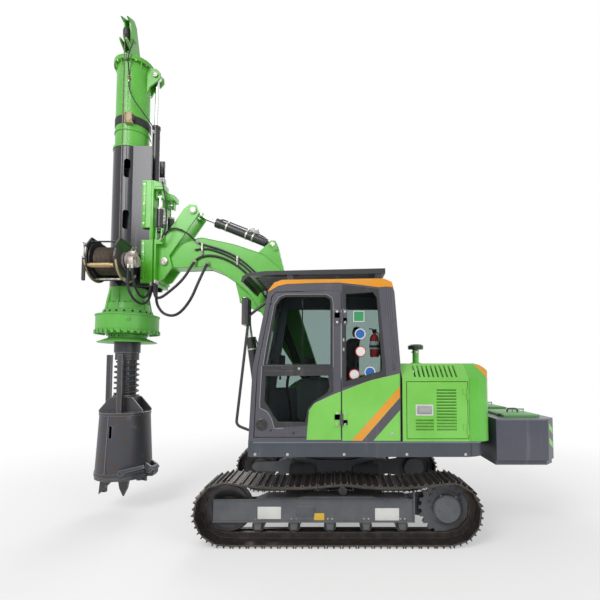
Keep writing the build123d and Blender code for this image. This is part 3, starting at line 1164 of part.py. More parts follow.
beak_z = SHEAVE_Z - SHEAVE_RADIUS + 20
head_outline = (
    (-150, MAST_FLANGE_Z + 26), (-50, beak_z), (SHEAVE_Y - 115, SHEAVE_Z + 60), (SHEAVE_Y - 60, HEAD_TOP - 40),
    (SHEAVE_Y, HEAD_TOP), (SHEAVE_Y + 45, HEAD_TOP - 14), (SHEAVE_Y + 45 + BEAK_REACH, HEAD_TOP - 75),
    (SHEAVE_Y + 95, HEAD_TOP - 92), (SHEAVE_Y + 70, SHEAVE_Z + 60), (SHEAVE_Y + 62, beak_z + 30),
    (SHEAVE_Y + 60 + BEAK_REACH, beak_z + 26), (SHEAVE_Y + 60 + BEAK_REACH, beak_z), (SHEAVE_Y + 74, beak_z - 60),
    (SHEAVE_Y + 50, MAST_FLANGE_Z + 26),
)
with BuildPart() as mast_head:
    shaft(upright(MAST_X, 0), UPPER_TUBE_RADIUS + 36, MAST_FLANGE_Z, MAST_FLANGE_Z + 28)
    cheek_gap = SHEAVE_HALF_WIDTH + 6
    for sign in (1, -1):
        x_edges = sorted((MAST_X + sign * cheek_gap, MAST_X + sign * (cheek_gap + HEAD_PLATE)))
        cross_slab(head_outline, x_edges[0], x_edges[1])
    block((MAST_X - cheek_gap, MAST_X + cheek_gap), (-60, SHEAVE_Y + 40), (MAST_FLANGE_Z + 27, beak_z - 30))
    cross_slab(
        ((SHEAVE_Y - 80, SHEAVE_Z + 160), (SHEAVE_Y - 60, HEAD_TOP - 40), (SHEAVE_Y, HEAD_TOP),
         (SHEAVE_Y + 45, HEAD_TOP - 14), (SHEAVE_Y + 45, HEAD_TOP - 26), (SHEAVE_Y, HEAD_TOP - 14),
         (SHEAVE_Y - 50, HEAD_TOP - 52), (SHEAVE_Y - 68, SHEAVE_Z + 160)),
        MAST_X - cheek_gap - 1, MAST_X + cheek_gap + 1,
    )
    shaft(lengthwise(SHEAVE_Y, SHEAVE_Z), SHEAVE_PIN_RADIUS, MAST_X - 60, MAST_X + 60)
write(mast_head, "mast_head")

with BuildPart() as sheave:
    turned(
        ((SHEAVE_PIN_RADIUS + PIN_CLEARANCE, -26), (48, -26), (48, -10), (SHEAVE_RADIUS - 30, -10),
         (SHEAVE_RADIUS, -SHEAVE_HALF_WIDTH), (SHEAVE_RADIUS - 18, -6), (SHEAVE_RADIUS - 18, 6),
         (SHEAVE_RADIUS, SHEAVE_HALF_WIDTH), (SHEAVE_RADIUS - 30, 10), (48, 10), (48, 26),
         (SHEAVE_PIN_RADIUS + PIN_CLEARANCE, 26)),
        lengthwise(SHEAVE_Y, SHEAVE_Z, MAST_X),
    )
write(sheave, "sheave")

rope_top = (MAST_X, SHEAVE_Y + SHEAVE_RADIUS - 18 + ROPE_RADIUS + 0.5, SHEAVE_Z)
rope_foot = (WINCH_X, WINCH_Y - DRUM_RADIUS - ROPE_RADIUS - 0.5, WINCH_Z)
with BuildPart() as hoist_rope:
    run = Vector(*rope_top) - Vector(*rope_foot)
    shaft(Plane(origin=rope_foot, z_dir=run), ROPE_RADIUS, 0, run.length)
write(hoist_rope, "hoist_rope")

# Winch
frame_gap = DRUM_HALF_LENGTH + WINCH_SIDE_GAP
with BuildPart() as winch_frame:
    cheek = [
        (WINCH_Y + 236 * cos(radians(angle)), WINCH_Z + 236 * sin(radians(angle)))
        for angle in range(-120, 121, 24)
    ]
    cheek += [(LOWER_TUBE_RADIUS + 2, WINCH_Z + 170), (LOWER_TUBE_RADIUS + 2, WINCH_Z - 170)]
    for sign in (1, -1):
        x_edges = sorted((WINCH_X + sign * frame_gap, WINCH_X + sign * (frame_gap + WINCH_PLATE)))
        cross_slab(cheek, x_edges[0], x_edges[1])
        shaft(lengthwise(WINCH_Y, WINCH_Z), DRUM_AXLE_RADIUS + PIN_CLEARANCE, x_edges[0] - 1, x_edges[1] + 1,
              mode=Mode.SUBTRACT)
    block((WINCH_X - frame_gap - WINCH_PLATE, WINCH_X + frame_gap + WINCH_PLATE),
          (LOWER_TUBE_RADIUS + 0.3, LOWER_TUBE_RADIUS + 22), (WINCH_Z - 170, WINCH_Z + 170))
    for z_low in (WINCH_Z - 130, WINCH_Z + 70):
        block(WINCH_SADDLE, (90, LOWER_TUBE_RADIUS + 5), (z_low, z_low + 60))
    shaft(upright(MAST_X, 0), LOWER_TUBE_RADIUS + 0.3, WINCH_Z - 240, WINCH_Z + 240, mode=Mode.SUBTRACT)
    for angle in (-75, -25, 60):
        shaft(lengthwise(WINCH_Y + 226 * cos(radians(angle)), WINCH_Z + 226 * sin(radians(angle))), 10,
              WINCH_X - frame_gap - 8, WINCH_X + frame_gap + 8)
write(winch_frame, "winch_frame")

with BuildPart() as winch_drum:
    at = lengthwise(WINCH_Y, WINCH_Z, WINCH_X)
    end = DRUM_HALF_LENGTH
    reach_out = frame_gap + WINCH_PLATE - 1
    turned(
        ((0, -reach_out), (DRUM_AXLE_RADIUS, -reach_out), (DRUM_AXLE_RADIUS, -end), (DRUM_FLANGE_RADIUS, -end),
         (DRUM_FLANGE_RADIUS, -end + DRUM_FLANGE), (DRUM_RADIUS, -end + DRUM_FLANGE),
         (DRUM_RADIUS, end - DRUM_FLANGE), (DRUM_FLANGE_RADIUS, end - DRUM_FLANGE), (DRUM_FLANGE_RADIUS, end),
         (DRUM_AXLE_RADIUS, end), (DRUM_AXLE_RADIUS, reach_out), (0, reach_out)),
        at,
    )
write(winch_drum, "winch_drum")

with BuildPart() as winch_motor:
    motor_end = WINCH_X - frame_gap - WINCH_PLATE
    turned(
        ((0, motor_end - MOTOR_LENGTH), (62, motor_end - MOTOR_LENGTH), (70, motor_end - MOTOR_LENGTH + 16),
         (70, motor_end - 60), (105, motor_end - 44), (105, motor_end), (0, motor_end)),
        lengthwise(WINCH_Y, WINCH_Z),
    )
write(winch_motor, "winch_motor")

# Rotary drive, kelly bar and bucket
bore = KELLY_RADIUS + KELLY_BORE_GAP
with BuildPart() as rotary_drive:
    turned(
        ((bore, DRIVE_NECK_TOP + 3), (DRIVE_NECK_RADIUS + PIN_CLEARANCE, DRIVE_NECK_TOP + 3),
         (DRIVE_NECK_RADIUS + PIN_CLEARANCE, DRIVE_BOTTOM), (FLARE_NECK_RADIUS + 15, DRIVE_BOTTOM),
         (DRIVE_CASE_RADIUS + 8, DRIVE_RING_LOW), (DRIVE_RING_RADIUS, DRIVE_RING_LOW),
         (DRIVE_RING_RADIUS, DRIVE_RING_TOP - 16), (DRIVE_RING_RADIUS + 8, DRIVE_RING_TOP - 16),
         (DRIVE_RING_RADIUS + 8, DRIVE_RING_TOP), (DRIVE_CASE_RADIUS + 20, DRIVE_RING_TOP + 10),
         (DRIVE_CASE_RADIUS + 20, DRIVE_RING_TOP + 60), (DRIVE_CASE_RADIUS, DRIVE_RING_TOP + 68),
         (DRIVE_CASE_RADIUS - 10, DRIVE_CASE_TOP), (DRIVE_CASE_RADIUS - 28, DRIVE_CASE_TOP + 8),
         (DRIVE_COLLAR_RADIUS, MAST_BOTTOM), (bore, MAST_BOTTOM)),
        upright(MAST_X, 0),
    )
    for number in range(DRIVE_RIB_COUNT):
        rib = Plane(origin=(MAST_X, 0, 0)).rotated((0, 0, 360 / DRIVE_RIB_COUNT * (number + 0.5)))
        rib_face = Plane(origin=rib.origin, x_dir=rib.x_dir, z_dir=-rib.y_dir)
        with BuildSketch(rib_face.offset(-7)) as rib_side:
            Polygon((DRIVE_COLLAR_RADIUS - 12, MAST_BOTTOM - 20), (DRIVE_COLLAR_RADIUS + 4, MAST_BOTTOM - 20),
                    (DRIVE_CASE_RADIUS + 12, DRIVE_RING_TOP + 60), (DRIVE_CASE_RADIUS - 24, DRIVE_RING_TOP + 60),
                    align=None)
        extrude(rib_side.sketch, amount=14)
    tooth_width = pi * DRIVE_RING_RADIUS / DRIVE_TOOTH_COUNT
    with Locations((MAST_X, 0, DRIVE_RING_LOW)):
        with PolarLocations(DRIVE_RING_RADIUS, DRIVE_TOOTH_COUNT):
            Box(2 * DRIVE_TOOTH, tooth_width, 44)
write(rotary_drive, "rotary_drive")

with BuildPart() as drive_flare:
    bush = KELLY_RADIUS + KELLY_BUSH_GAP
    flare_wall = 12
    turned(
        ((bush, FLARE_BOTTOM + 30), (STUB_RADIUS + 30, FLARE_BOTTOM + 30), (FLARE_RADIUS - 12, FLARE_BOTTOM),
         (FLARE_RADIUS, FLARE_BOTTOM), (FLARE_RADIUS, FLARE_BOTTOM + 10), (FLARE_NECK_RADIUS, FLARE_NECK_LOW),
         (FLARE_NECK_RADIUS, DRIVE_BOTTOM - 5), (DRIVE_NECK_RADIUS, DRIVE_BOTTOM - 5),
         (DRIVE_NECK_RADIUS, DRIVE_NECK_TOP), (bush, DRIVE_NECK_TOP)),
        upright(MAST_X, 0),
    )
    for azimuth in FLARE_SLOT_AZIMUTHS:
        slot = Plane(origin=(MAST_X, 0, (FLARE_NECK_LOW + DRIVE_BOTTOM) / 2)).rotated((0, 0, azimuth))
        with BuildSketch(slot) as slot_face:
            with Locations((FLARE_NECK_RADIUS, 0)):
                Rectangle(2 * flare_wall, 22)
        extrude(slot_face.sketch, amount=14, both=True, mode=Mode.SUBTRACT)
write(drive_flare, "drive_flare")

with BuildPart() as drive_stub:
    turned(
        ((bush, STUB_BOTTOM), (STUB_RADIUS - 14, STUB_BOTTOM), (STUB_RADIUS - 14, STUB_TOP), (STUB_RADIUS, STUB_TOP),
         (STUB_RADIUS, FLARE_BOTTOM + 29.7), (bush, FLARE_BOTTOM + 29.7)),
        upright(MAST_X, 0),
    )
    for sign in (1, -1):
        block((MAST_X - STUB_NOTCH / 2, MAST_X + STUB_NOTCH / 2), sorted((sign * (STUB_RADIUS - 40), sign * STUB_RADIUS)),
              (STUB_BOTTOM - 1, STUB_BOTTOM + 40), mode=Mode.SUBTRACT)
write(drive_stub, "drive_stub")

with BuildPart() as kelly_bar:
    shaft(upright(MAST_X, 0), KELLY_RADIUS, HUB_TOP, KELLY_TOP)
    shaft(upright(MAST_X, 0), 150, HUB_TOP, SPRING_BOTTOM - 0.3)
write(kelly_bar, "kelly_bar")

with BuildPart() as kelly_spring:
    pitch = (SPRING_TOP - SPRING_BOTTOM - 2 * SPRING_WIRE - 6) / SPRING_TURNS
    with BuildLine():
        coil = Helix(pitch, pitch * SPRING_TURNS, SPRING_RADIUS, center=(MAST_X, 0, SPRING_BOTTOM + SPRING_WIRE))
    with BuildSketch(Plane(origin=coil @ 0, z_dir=coil % 0)):
        Circle(SPRING_WIRE)
    sweep(is_frenet=True)
write(kelly_spring, "kelly_spring")

with BuildPart() as bucket_shell:
    at = upright(MAST_X, 0)
    turned(
        ((BUCKET_BOTTOM_RADIUS - BUCKET_WALL, BUCKET_BOTTOM), (BUCKET_BOTTOM_RADIUS, BUCKET_BOTTOM),
         (BUCKET_TOP_RADIUS, BUCKET_TOP), (0, BUCKET_TOP), (0, BUCKET_TOP - 20),
         (BUCKET_TOP_RADIUS - BUCKET_WALL, BUCKET_TOP - 20)),
        at,
    )
    block((MAST_X - HUB_HALF, MAST_X + HUB_HALF), (-HUB_HALF, HUB_HALF), (BUCKET_TOP - 2, HUB_TOP))
    gusset = ((-BUCKET_TOP_RADIUS + 18, BUCKET_TOP - 2), (-BUCKET_TOP_RADIUS + 18, BUCKET_TOP + 24),
              (-HUB_HALF - 12, HUB_TOP - 5), (HUB_HALF + 12, HUB_TOP - 5), (BUCKET_TOP_RADIUS - 18, BUCKET_TOP + 24),
              (BUCKET_TOP_RADIUS - 18, BUCKET_TOP - 2))
    for y_low in (-HUB_HALF, HUB_HALF - 16):
        slab([(MAST_X + x, z) for x, z in gusset], y_low, y_low + 16)
    slot_face = Plane(origin=(MAST_X, 0, BUCKET_SLOT_Z), x_dir=(0, 0, 1),
                      z_dir=(cos(radians(BUCKET_SLOT_TURN)), sin(radians(BUCKET_SLOT_TURN)), 0))
    with BuildSketch(slot_face.offset(BUCKET_TOP_RADIUS - 60)) as slot:
        SlotOverall(BUCKET_SLOT[1], BUCKET_SLOT[0])
    extrude(slot.sketch, amount=120, mode=Mode.SUBTRACT)
    for azimuth in TRIP_BAR_AZIMUTHS:
        bar = Plane(origin=(MAST_X, 0, BUCKET_TOP - 2)).rotated((0, 0, azimuth))
        with BuildSketch(bar) as bar_face:
            with Locations((TRIP_BAR_RADIUS, 0)):
                Rectangle(TRIP_BAR, TRIP_BAR)
        extrude(bar_face.sketch, amount=TRIP_BAR_TOP - BUCKET_TOP + 2)
    pin_x, pin_z = GATE_PIN
    for sign in (1, -1):
        edges = sorted((sign * 60, sign * 90))
        slab(((pin_x + 74, pin_z + 96), (pin_x - 10, pin_z + 36), (pin_x - 38, pin_z), (pin_x - 10, pin_z - 36),
              (pin_x + 30, pin_z - 38), (pin_x + 74, pin_z - 50)), edges[0], edges[1])
    shaft(across(*GATE_PIN), 18, -96, 96)
write(bucket_shell, "bucket_shell")

with BuildPart() as bucket_gate:
    gate_top = BUCKET_BOTTOM - GATE_GAP
    at = upright(MAST_X, 0)
    shaft(at, BUCKET_BOTTOM_RADIUS, gate_top - GATE_PLATE, gate_top)
    slab(((pin_x - 34, pin_z + 8), (pin_x + 34, pin_z + 8), (pin_x + 36, gate_top), (pin_x + 160, gate_top),
          (pin_x + 160, gate_top - GATE_PLATE), (pin_x - 10, gate_top - GATE_PLATE), (pin_x - 34, gate_top + 10)),
         -54, 54)
    shaft(across(*GATE_PIN), 36, -54, 54)
    shaft(across(*GATE_PIN), 18 + PIN_CLEARANCE, -60, 60, mode=Mode.SUBTRACT)
    slab(((MAST_X - 80, gate_top - GATE_PLATE + 2), (MAST_X + 80, gate_top - GATE_PLATE + 2),
          (MAST_X + 48, 250), (MAST_X, PILOT_TIP_Z), (MAST_X - 48, 250)), -16, 16)
    tooth_root = gate_top - GATE_PLATE + 2
    tooth_out = BUCKET_BOTTOM_RADIUS - 60
    front_teeth = ((MAST_X - 40, tooth_root), (MAST_X + tooth_out, tooth_root), (MAST_X + tooth_out + 20, 190),
                   (MAST_X + 140, 330))
    rear_teeth = ((MAST_X + 40, tooth_root), (MAST_X - tooth_out, tooth_root), (MAST_X - tooth_out, 330),
                  (MAST_X - tooth_out + 90, 350))
    slab(front_teeth, 26, 54)
    slab(rear_teeth, -54, -26)
write(bucket_gate, "bucket_gate")
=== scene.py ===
"""Looks of the compact rotary drilling rig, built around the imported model.

Metres, in the model's own frame: +X to the mast, +Y to the cab, +Z up, origin on the slewing axis.
"""

from math import cos, pi, radians, sin

import bpy
from mathutils import Matrix, Vector


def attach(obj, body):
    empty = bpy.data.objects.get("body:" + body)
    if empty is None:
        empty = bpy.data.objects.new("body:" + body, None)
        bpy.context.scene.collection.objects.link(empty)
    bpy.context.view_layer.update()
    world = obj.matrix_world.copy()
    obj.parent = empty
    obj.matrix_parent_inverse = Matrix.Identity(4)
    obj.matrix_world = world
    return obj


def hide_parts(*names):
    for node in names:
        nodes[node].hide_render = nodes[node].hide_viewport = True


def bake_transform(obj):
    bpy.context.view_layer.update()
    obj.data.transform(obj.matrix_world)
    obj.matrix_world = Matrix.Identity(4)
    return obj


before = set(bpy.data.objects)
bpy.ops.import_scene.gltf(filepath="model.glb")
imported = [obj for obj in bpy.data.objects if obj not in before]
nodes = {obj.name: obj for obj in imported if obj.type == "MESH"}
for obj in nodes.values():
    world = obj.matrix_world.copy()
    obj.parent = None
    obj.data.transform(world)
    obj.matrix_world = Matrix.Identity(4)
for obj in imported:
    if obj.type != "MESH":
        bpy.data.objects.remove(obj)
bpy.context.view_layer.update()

# Camera, at the photograph's place
CAMERA_PLACE = (0, 5.030, 1.728)
CAMERA_TILT = 93.0
CAMERA_SHIFT = (-0.0567, 0.0792)
CAMERA_LENS = 24
SENSOR_WIDTH = 36

# Lamps, and the share of the white surroundings that lights the machine
LAMPS = (
    # name, place, aim, size, power
    ("key_panel", (4.5, 8.5, 8.5), (0.5, 0, 2.2), 5.0, 620),
    ("fill_panel", (-7.5, 6.5, 5.0), (0, 0, 1.5), 6.0, 260),
    ("back_panel", (2.0, -8.5, 8.0), (0.5, 0, 2.5), 5.0, 300),
)
AMBIENT = 0.42
FLOOR_SIZE = 60

# Colours of the finishes, linear
LIME = (0.115, 0.50, 0.045, 1)
CAB_GREY = (0.075, 0.07, 0.09, 1)
DECK_GREY = (0.036, 0.046, 0.066, 1)
FRAME_GREY = (0.055, 0.068, 0.09, 1)
BOX_GREY = (0.058, 0.062, 0.088, 1)
SATIN_BLACK = (0.018, 0.018, 0.021, 1)
SOIL = (0.30, 0.25, 0.19, 1)
PALE_DUST = (0.42, 0.40, 0.36, 1)
BARE_STEEL = (0.33, 0.32, 0.31, 1)
DARK_STEEL = (0.075, 0.075, 0.085, 1)
RUST = (0.085, 0.065, 0.055, 1)
ORANGE = (0.80, 0.33, 0.03, 1)


def clear_selection():
    """Leaves edit mode and deselects everything."""
    if bpy.context.object and bpy.context.object.mode != "OBJECT":
        bpy.ops.object.mode_set(mode="OBJECT")
    bpy.ops.object.select_all(action="DESELECT")


def pick(piece):
    """Makes a piece the one that operators work on."""
    clear_selection()
    piece.select_set(True)
    bpy.context.view_layer.objects.active = piece


# Shader groups that several finishes share
def shader_group(name, inputs, outputs):
    """New node group with named sockets; returns the group, its input node and its output node."""
    group = bpy.data.node_groups.new(name, "ShaderNodeTree")
    for label, kind, value in inputs:
        socket = group.interface.new_socket(label, in_out="INPUT", socket_type=kind)
        socket.default_value = value
    for label, kind in outputs:
        group.interface.new_socket(label, in_out="OUTPUT", socket_type=kind)
    return group, group.nodes.new("NodeGroupInput"), group.nodes.new("NodeGroupOutput")


FLOAT, COLOUR = "NodeSocketFloat", "NodeSocketColor"


def noise(group, scale, detail=4.0, roughness=0.55, stretch=(1, 1, 1)):
    """Noise on object coordinates, stretched along an axis where a pattern runs."""
    place = group.nodes.new("ShaderNodeTexCoord")
    mapping = group.nodes.new("ShaderNodeMapping")
    mapping.inputs["Scale"].default_value = stretch
    texture = group.nodes.new("ShaderNodeTexNoise")
    texture.inputs["Scale"].default_value = scale
    texture.inputs["Detail"].default_value = detail
    texture.inputs["Roughness"].default_value = roughness
    group.links.new(place.outputs["Object"], mapping.inputs["Vector"])
    group.links.new(mapping.outputs["Vector"], texture.inputs["Vector"])
    return texture.outputs["Fac"]


def maths(group, operation, first, second=None, clamp=False):
    """Math node whose inputs are sockets or numbers."""
    node = group.nodes.new("ShaderNodeMath")
    node.operation = operation
    node.use_clamp = clamp
    for socket, value in zip(node.inputs, (first, second)):
        if value is None:
            continue
        if hasattr(value, "node"):
            group.links.new(value, socket)
        else:
            socket.default_value = value
    return node.outputs[0]


def ramp_mask(group, source, low, high):
    """Turns a value into a mask that rises from low to high."""
    node = group.nodes.new("ShaderNodeMapRange")
    node.interpolation_type = "SMOOTHSTEP"
    group.links.new(source, node.inputs["Value"])
    for label, value in (("From Min", low), ("From Max", high)):
        if hasattr(value, "node"):
            group.links.new(value, node.inputs[label])
        else:
            node.inputs[label].default_value = value
    return node.outputs["Result"]


def mixed(group, mask, first, second):
    """Mixes two colours by a mask."""
    node = group.nodes.new("ShaderNodeMix")
    node.data_type = "RGBA"
    group.links.new(mask, node.inputs["Factor"])
    for label, value in (("A", first), ("B", second)):
        socket = next(s for s in node.inputs if s.name == label and s.type == "RGBA")
        if hasattr(value, "node"):
            group.links.new(value, socket)
        else:
            socket.default_value = value
    return next(s for s in node.outputs if s.type == "RGBA")


def edge_mask(group, radius):
    """1 at sharp edges, 0 on flat faces."""
    bevel = group.nodes.new("ShaderNodeBevel")
    bevel.samples = 4
    bevel.inputs["Radius"].default_value = radius
    geometry = group.nodes.new("ShaderNodeNewGeometry")
    dot = group.nodes.new("ShaderNodeVectorMath")
    dot.operation = "DOT_PRODUCT"
    group.links.new(bevel.outputs["Normal"], dot.inputs[0])
    group.links.new(geometry.outputs["Normal"], dot.inputs[1])
    return ramp_mask(group, maths(group, "SUBTRACT", 1.0, dot.outputs["Value"]), 0.01, 0.12)


def make_settled_dust():
    """Mask of dust that lies on upward faces and rises from the ground."""
    group, given, out = shader_group(
        "settled_dust",
        (("Amount", FLOAT, 0.4), ("Ground height", FLOAT, 1.2)),
        (("Mask", FLOAT),),
    )
    geometry = group.nodes.new("ShaderNodeNewGeometry")
    normal = group.nodes.new("ShaderNodeSeparateXYZ")
    group.links.new(geometry.outputs["Normal"], normal.inputs["Vector"])
    place = group.nodes.new("ShaderNodeTexCoord")
    height = group.nodes.new("ShaderNodeSeparateXYZ")
    group.links.new(place.outputs["Object"], height.inputs["Vector"])
    upward = ramp_mask(group, normal.outputs["Z"], 0.2, 1.0)
    fall = maths(group, "DIVIDE", height.outputs["Z"], given.outputs["Ground height"])
    low = maths(group, "SUBTRACT", 1.0, fall, clamp=True)
    both = maths(group, "ADD", maths(group, "MULTIPLY", upward, 0.55), maths(group, "MULTIPLY", low, 0.7))
    patchy = maths(group, "ADD", maths(group, "MULTIPLY", noise(group, 5.0, 6, 0.65), 1.4), -0.15)
    lying = maths(group, "MULTIPLY", both, patchy)
    mask = maths(group, "MULTIPLY", lying, given.outputs["Amount"], clamp=True)
    group.links.new(mask, out.inputs["Mask"])
    return group


def make_paint_wear():
    """Colour, roughness and height of machine paint with chips, edge wear and faint sun bleaching."""
    group, given, out = shader_group(
        "paint_wear",
        (("Paint", COLOUR, LIME), ("Undercoat", COLOUR, DARK_STEEL), ("Dust", COLOUR, PALE_DUST),
         ("Dust mask", FLOAT, 0.0), ("Wear", FLOAT, 0.4), ("Base roughness", FLOAT, 0.35)),
        (("Color", COLOUR), ("Roughness", FLOAT), ("Height", FLOAT)),
    )
    cloudy = ramp_mask(group, noise(group, 1.7, 3), 0.35, 0.7)
    darker = group.nodes.new("ShaderNodeHueSaturation")
    darker.inputs["Value"].default_value = 0.86
    darker.inputs["Saturation"].default_value = 1.05
    group.links.new(given.outputs["Paint"], darker.inputs["Color"])
    coat = mixed(group, cloudy, given.outputs["Paint"], darker.outputs["Color"])
    streaks = ramp_mask(group, noise(group, 9.0, 5, 0.6, (1, 1, 0.08)), 0.56, 0.8)
    streaked = mixed(group, maths(group, "MULTIPLY", streaks, 0.18), coat, given.outputs["Dust"])
    rubbed = ramp_mask(group, noise(group, 26.0, 5, 0.7), 0.42, 0.62)
    worn_edge = maths(group, "MULTIPLY", edge_mask(group, 0.006), rubbed)
    chips = ramp_mask(group, noise(group, 70.0, 3, 0.5), 0.70, 0.73)
    bare = maths(group, "MAXIMUM", worn_edge, chips)
    loss = maths(group, "MULTIPLY", bare, given.outputs["Wear"], clamp=True)
    bared = mixed(group, loss, streaked, given.outputs["Undercoat"])
    dusty = mixed(group, given.outputs["Dust mask"], bared, given.outputs["Dust"])
    dulled = maths(group, "MULTIPLY", given.outputs["Dust mask"], 0.4)
    rough = maths(group, "ADD", given.outputs["Base roughness"], dulled)
    rough = maths(group, "ADD", rough, maths(group, "MULTIPLY", loss, 0.2), clamp=True)
    peel = maths(group, "MULTIPLY", noise(group, 160.0, 2), 0.25)
    height = maths(group, "SUBTRACT", peel, maths(group, "MULTIPLY", loss, 1.0))
    group.links.new(dusty, out.inputs["Color"])
    group.links.new(rough, out.inputs["Roughness"])
    group.links.new(height, out.inputs["Height"])
    return group


def make_worked_metal():
    """Colour, roughness and height of bare steel that has scraped through soil."""
    group, given, out = shader_group(
        "worked_metal",
        (("Metal", COLOUR, DARK_STEEL), ("Bright", COLOUR, BARE_STEEL), ("Soil", COLOUR, SOIL),
         ("Soil amount", FLOAT, 0.4), ("Polish", FLOAT, 0.5), ("Grain", FLOAT, 1.0)),
        (("Color", COLOUR), ("Roughness", FLOAT), ("Height", FLOAT)),
    )
    rusty = ramp_mask(group, noise(group, 12.0, 6, 0.65), 0.4, 0.65)
    mottled = mixed(group, rusty, given.outputs["Metal"], RUST)
    tone = mixed(group, ramp_mask(group, noise(group, 4.0, 4), 0.3, 0.6), given.outputs["Metal"], mottled)
    rubbed = maths(group, "MULTIPLY", edge_mask(group, 0.008), given.outputs["Polish"], clamp=True)
    brightened = mixed(group, rubbed, tone, given.outputs["Bright"])
    start = maths(group, "SUBTRACT", 0.80, maths(group, "MULTIPLY", given.outputs["Soil amount"], 0.45))
    cake = ramp_mask(group, noise(group, 6.5, 8, 0.7), start, 0.86)
    caked = mixed(group, cake, brightened, given.outputs["Soil"])
    rough = maths(group, "ADD", 0.42, maths(group, "MULTIPLY", cake, 0.45))
    rough = maths(group, "SUBTRACT", rough, maths(group, "MULTIPLY", rubbed, 0.15), clamp=True)
    pits = maths(group, "MULTIPLY", noise(group, 90.0, 5, 0.7), given.outputs["Grain"])
    clods = maths(group, "MULTIPLY", noise(group, 45.0, 6, 0.8), 3.0)
    height = maths(group, "ADD", pits, maths(group, "MULTIPLY", cake, clods))
    group.links.new(caked, out.inputs["Color"])
    group.links.new(rough, out.inputs["Roughness"])
    group.links.new(height, out.inputs["Height"])
    return group


settled_dust = make_settled_dust()
paint_wear = make_paint_wear()
worked_metal = make_worked_metal()


def new_material(name):
    """Empty node material with its Principled shader."""
    material = bpy.data.materials.new(name)
    material.use_nodes = True
    shader = material.node_tree.nodes["Principled BSDF"]
    return material, material.node_tree, shader


def placed(tree, group, **values):
    """Places a shader group in a material; underscores in the names stand for spaces."""
    node = tree.nodes.new("ShaderNodeGroup")
    node.node_tree = group
    for label, value in values.items():
        node.inputs[label.replace("_", " ")].default_value = value
    return node


def bumped(tree, shader, height, strength, distance):
    """Feeds a height into the shader's normal."""
    bump = tree.nodes.new("ShaderNodeBump")
    bump.inputs["Strength"].default_value = strength
    bump.inputs["Distance"].default_value = distance
    tree.links.new(height, bump.inputs["Height"])
    tree.links.new(bump.outputs["Normal"], shader.inputs["Normal"])


def painted(name, colour, undercoat=DARK_STEEL, dust=0.35, dust_colour=PALE_DUST, ground=1.2, wear=0.4,
            roughness=0.35, coat=0.25):
    """Machine paint with dust and wear."""
    material, tree, shader = new_material(name)
    lying = placed(tree, settled_dust, Amount=dust, Ground_height=ground)
    surface = placed(tree, paint_wear, Paint=colour, Undercoat=undercoat, Dust=dust_colour, Wear=wear,
                     Base_roughness=roughness)
    tree.links.new(lying.outputs["Mask"], surface.inputs["Dust mask"])
    tree.links.new(surface.outputs["Color"], shader.inputs["Base Color"])
    tree.links.new(surface.outputs["Roughness"], shader.inputs["Roughness"])
    shader.inputs["Coat Weight"].default_value = coat
    shader.inputs["Coat Roughness"].default_value = 0.18
    bumped(tree, shader, surface.outputs["Height"], 0.25, 0.0008)
    return material


def metal(name, colour, bright=BARE_STEEL, soil=0.4, polish=0.6, metallic=0.6, grain=1.0, soil_colour=SOIL):
    """Bare or worn metal with caked soil."""
    material, tree, shader = new_material(name)
    surface = placed(tree, worked_metal, Metal=colour, Bright=bright, Soil=soil_colour, Soil_amount=soil,
                     Polish=polish, Grain=grain)
    tree.links.new(surface.outputs["Color"], shader.inputs["Base Color"])
    tree.links.new(surface.outputs["Roughness"], shader.inputs["Roughness"])
    shader.inputs["Metallic"].default_value = metallic
    bumped(tree, shader, surface.outputs["Height"], 0.45, 0.0015)
    return material


def smooth_metal(name, colour, roughness):
    """Chromed or polished metal with faint drawn scratches."""
    material, tree, shader = new_material(name)
    scratch = 0.06
    lines = noise(tree, 60.0, 3, 0.6, (1, 1, 0.02))
    rough = maths(tree, "ADD", maths(tree, "MULTIPLY", lines, scratch * 2), roughness - scratch)
    tint = mixed(tree, ramp_mask(tree, lines, 0.35, 0.75), colour, tuple(c * 0.82 for c in colour[:3]) + (1,))
    tree.links.new(tint, shader.inputs["Base Color"])
    tree.links.new(rough, shader.inputs["Roughness"])
    shader.inputs["Metallic"].default_value = 1.0
    return material


def clear_glass(name, tint):
    """Cab glass with a faint film of dust."""
    material, tree, shader = new_material(name)
    film = ramp_mask(tree, noise(tree, 3.0, 5, 0.6), 0.35, 0.8)
    shader.inputs["Base Color"].default_value = tint
    tree.links.new(maths(tree, "MULTIPLY", film, 0.08), shader.inputs["Roughness"])
    shader.inputs["Transmission Weight"].default_value = 1.0
    shader.inputs["IOR"].default_value = 1.1
    return material


def rubber(name, colour=(0.014, 0.014, 0.016, 1), roughness=0.5, weave=300.0):
    """Hose or seal rubber with a fine cloth-impressed skin and dust."""
    material, tree, shader = new_material(name)
    fine = noise(tree, weave, 2)
    dusty = ramp_mask(tree, noise(tree, 14.0, 5), 0.5, 0.85)
    tint = mixed(tree, maths(tree, "MULTIPLY", dusty, 0.3), colour, (0.12, 0.11, 0.10, 1))
    tree.links.new(tint, shader.inputs["Base Color"])
    tree.links.new(maths(tree, "ADD", maths(tree, "MULTIPLY", dusty, 0.25), roughness),
                   shader.inputs["Roughness"])
    bumped(tree, shader, fine, 0.3, 0.0006)
    return material


def fabric(name, colour):
    """Seat cloth with a woven bump."""
    material, tree, shader = new_material(name)
    weave = noise(tree, 700.0, 2)
    faded = ramp_mask(tree, noise(tree, 8.0, 3), 0.4, 0.8)
    tree.links.new(mixed(tree, faded, colour, tuple(c * 1.6 for c in colour[:3]) + (1,)),
                   shader.inputs["Base Color"])
    shader.inputs["Roughness"].default_value = 0.9
    shader.inputs["Sheen Weight"].default_value = 0.3
    bumped(tree, shader, weave, 0.5, 0.001)
    return material


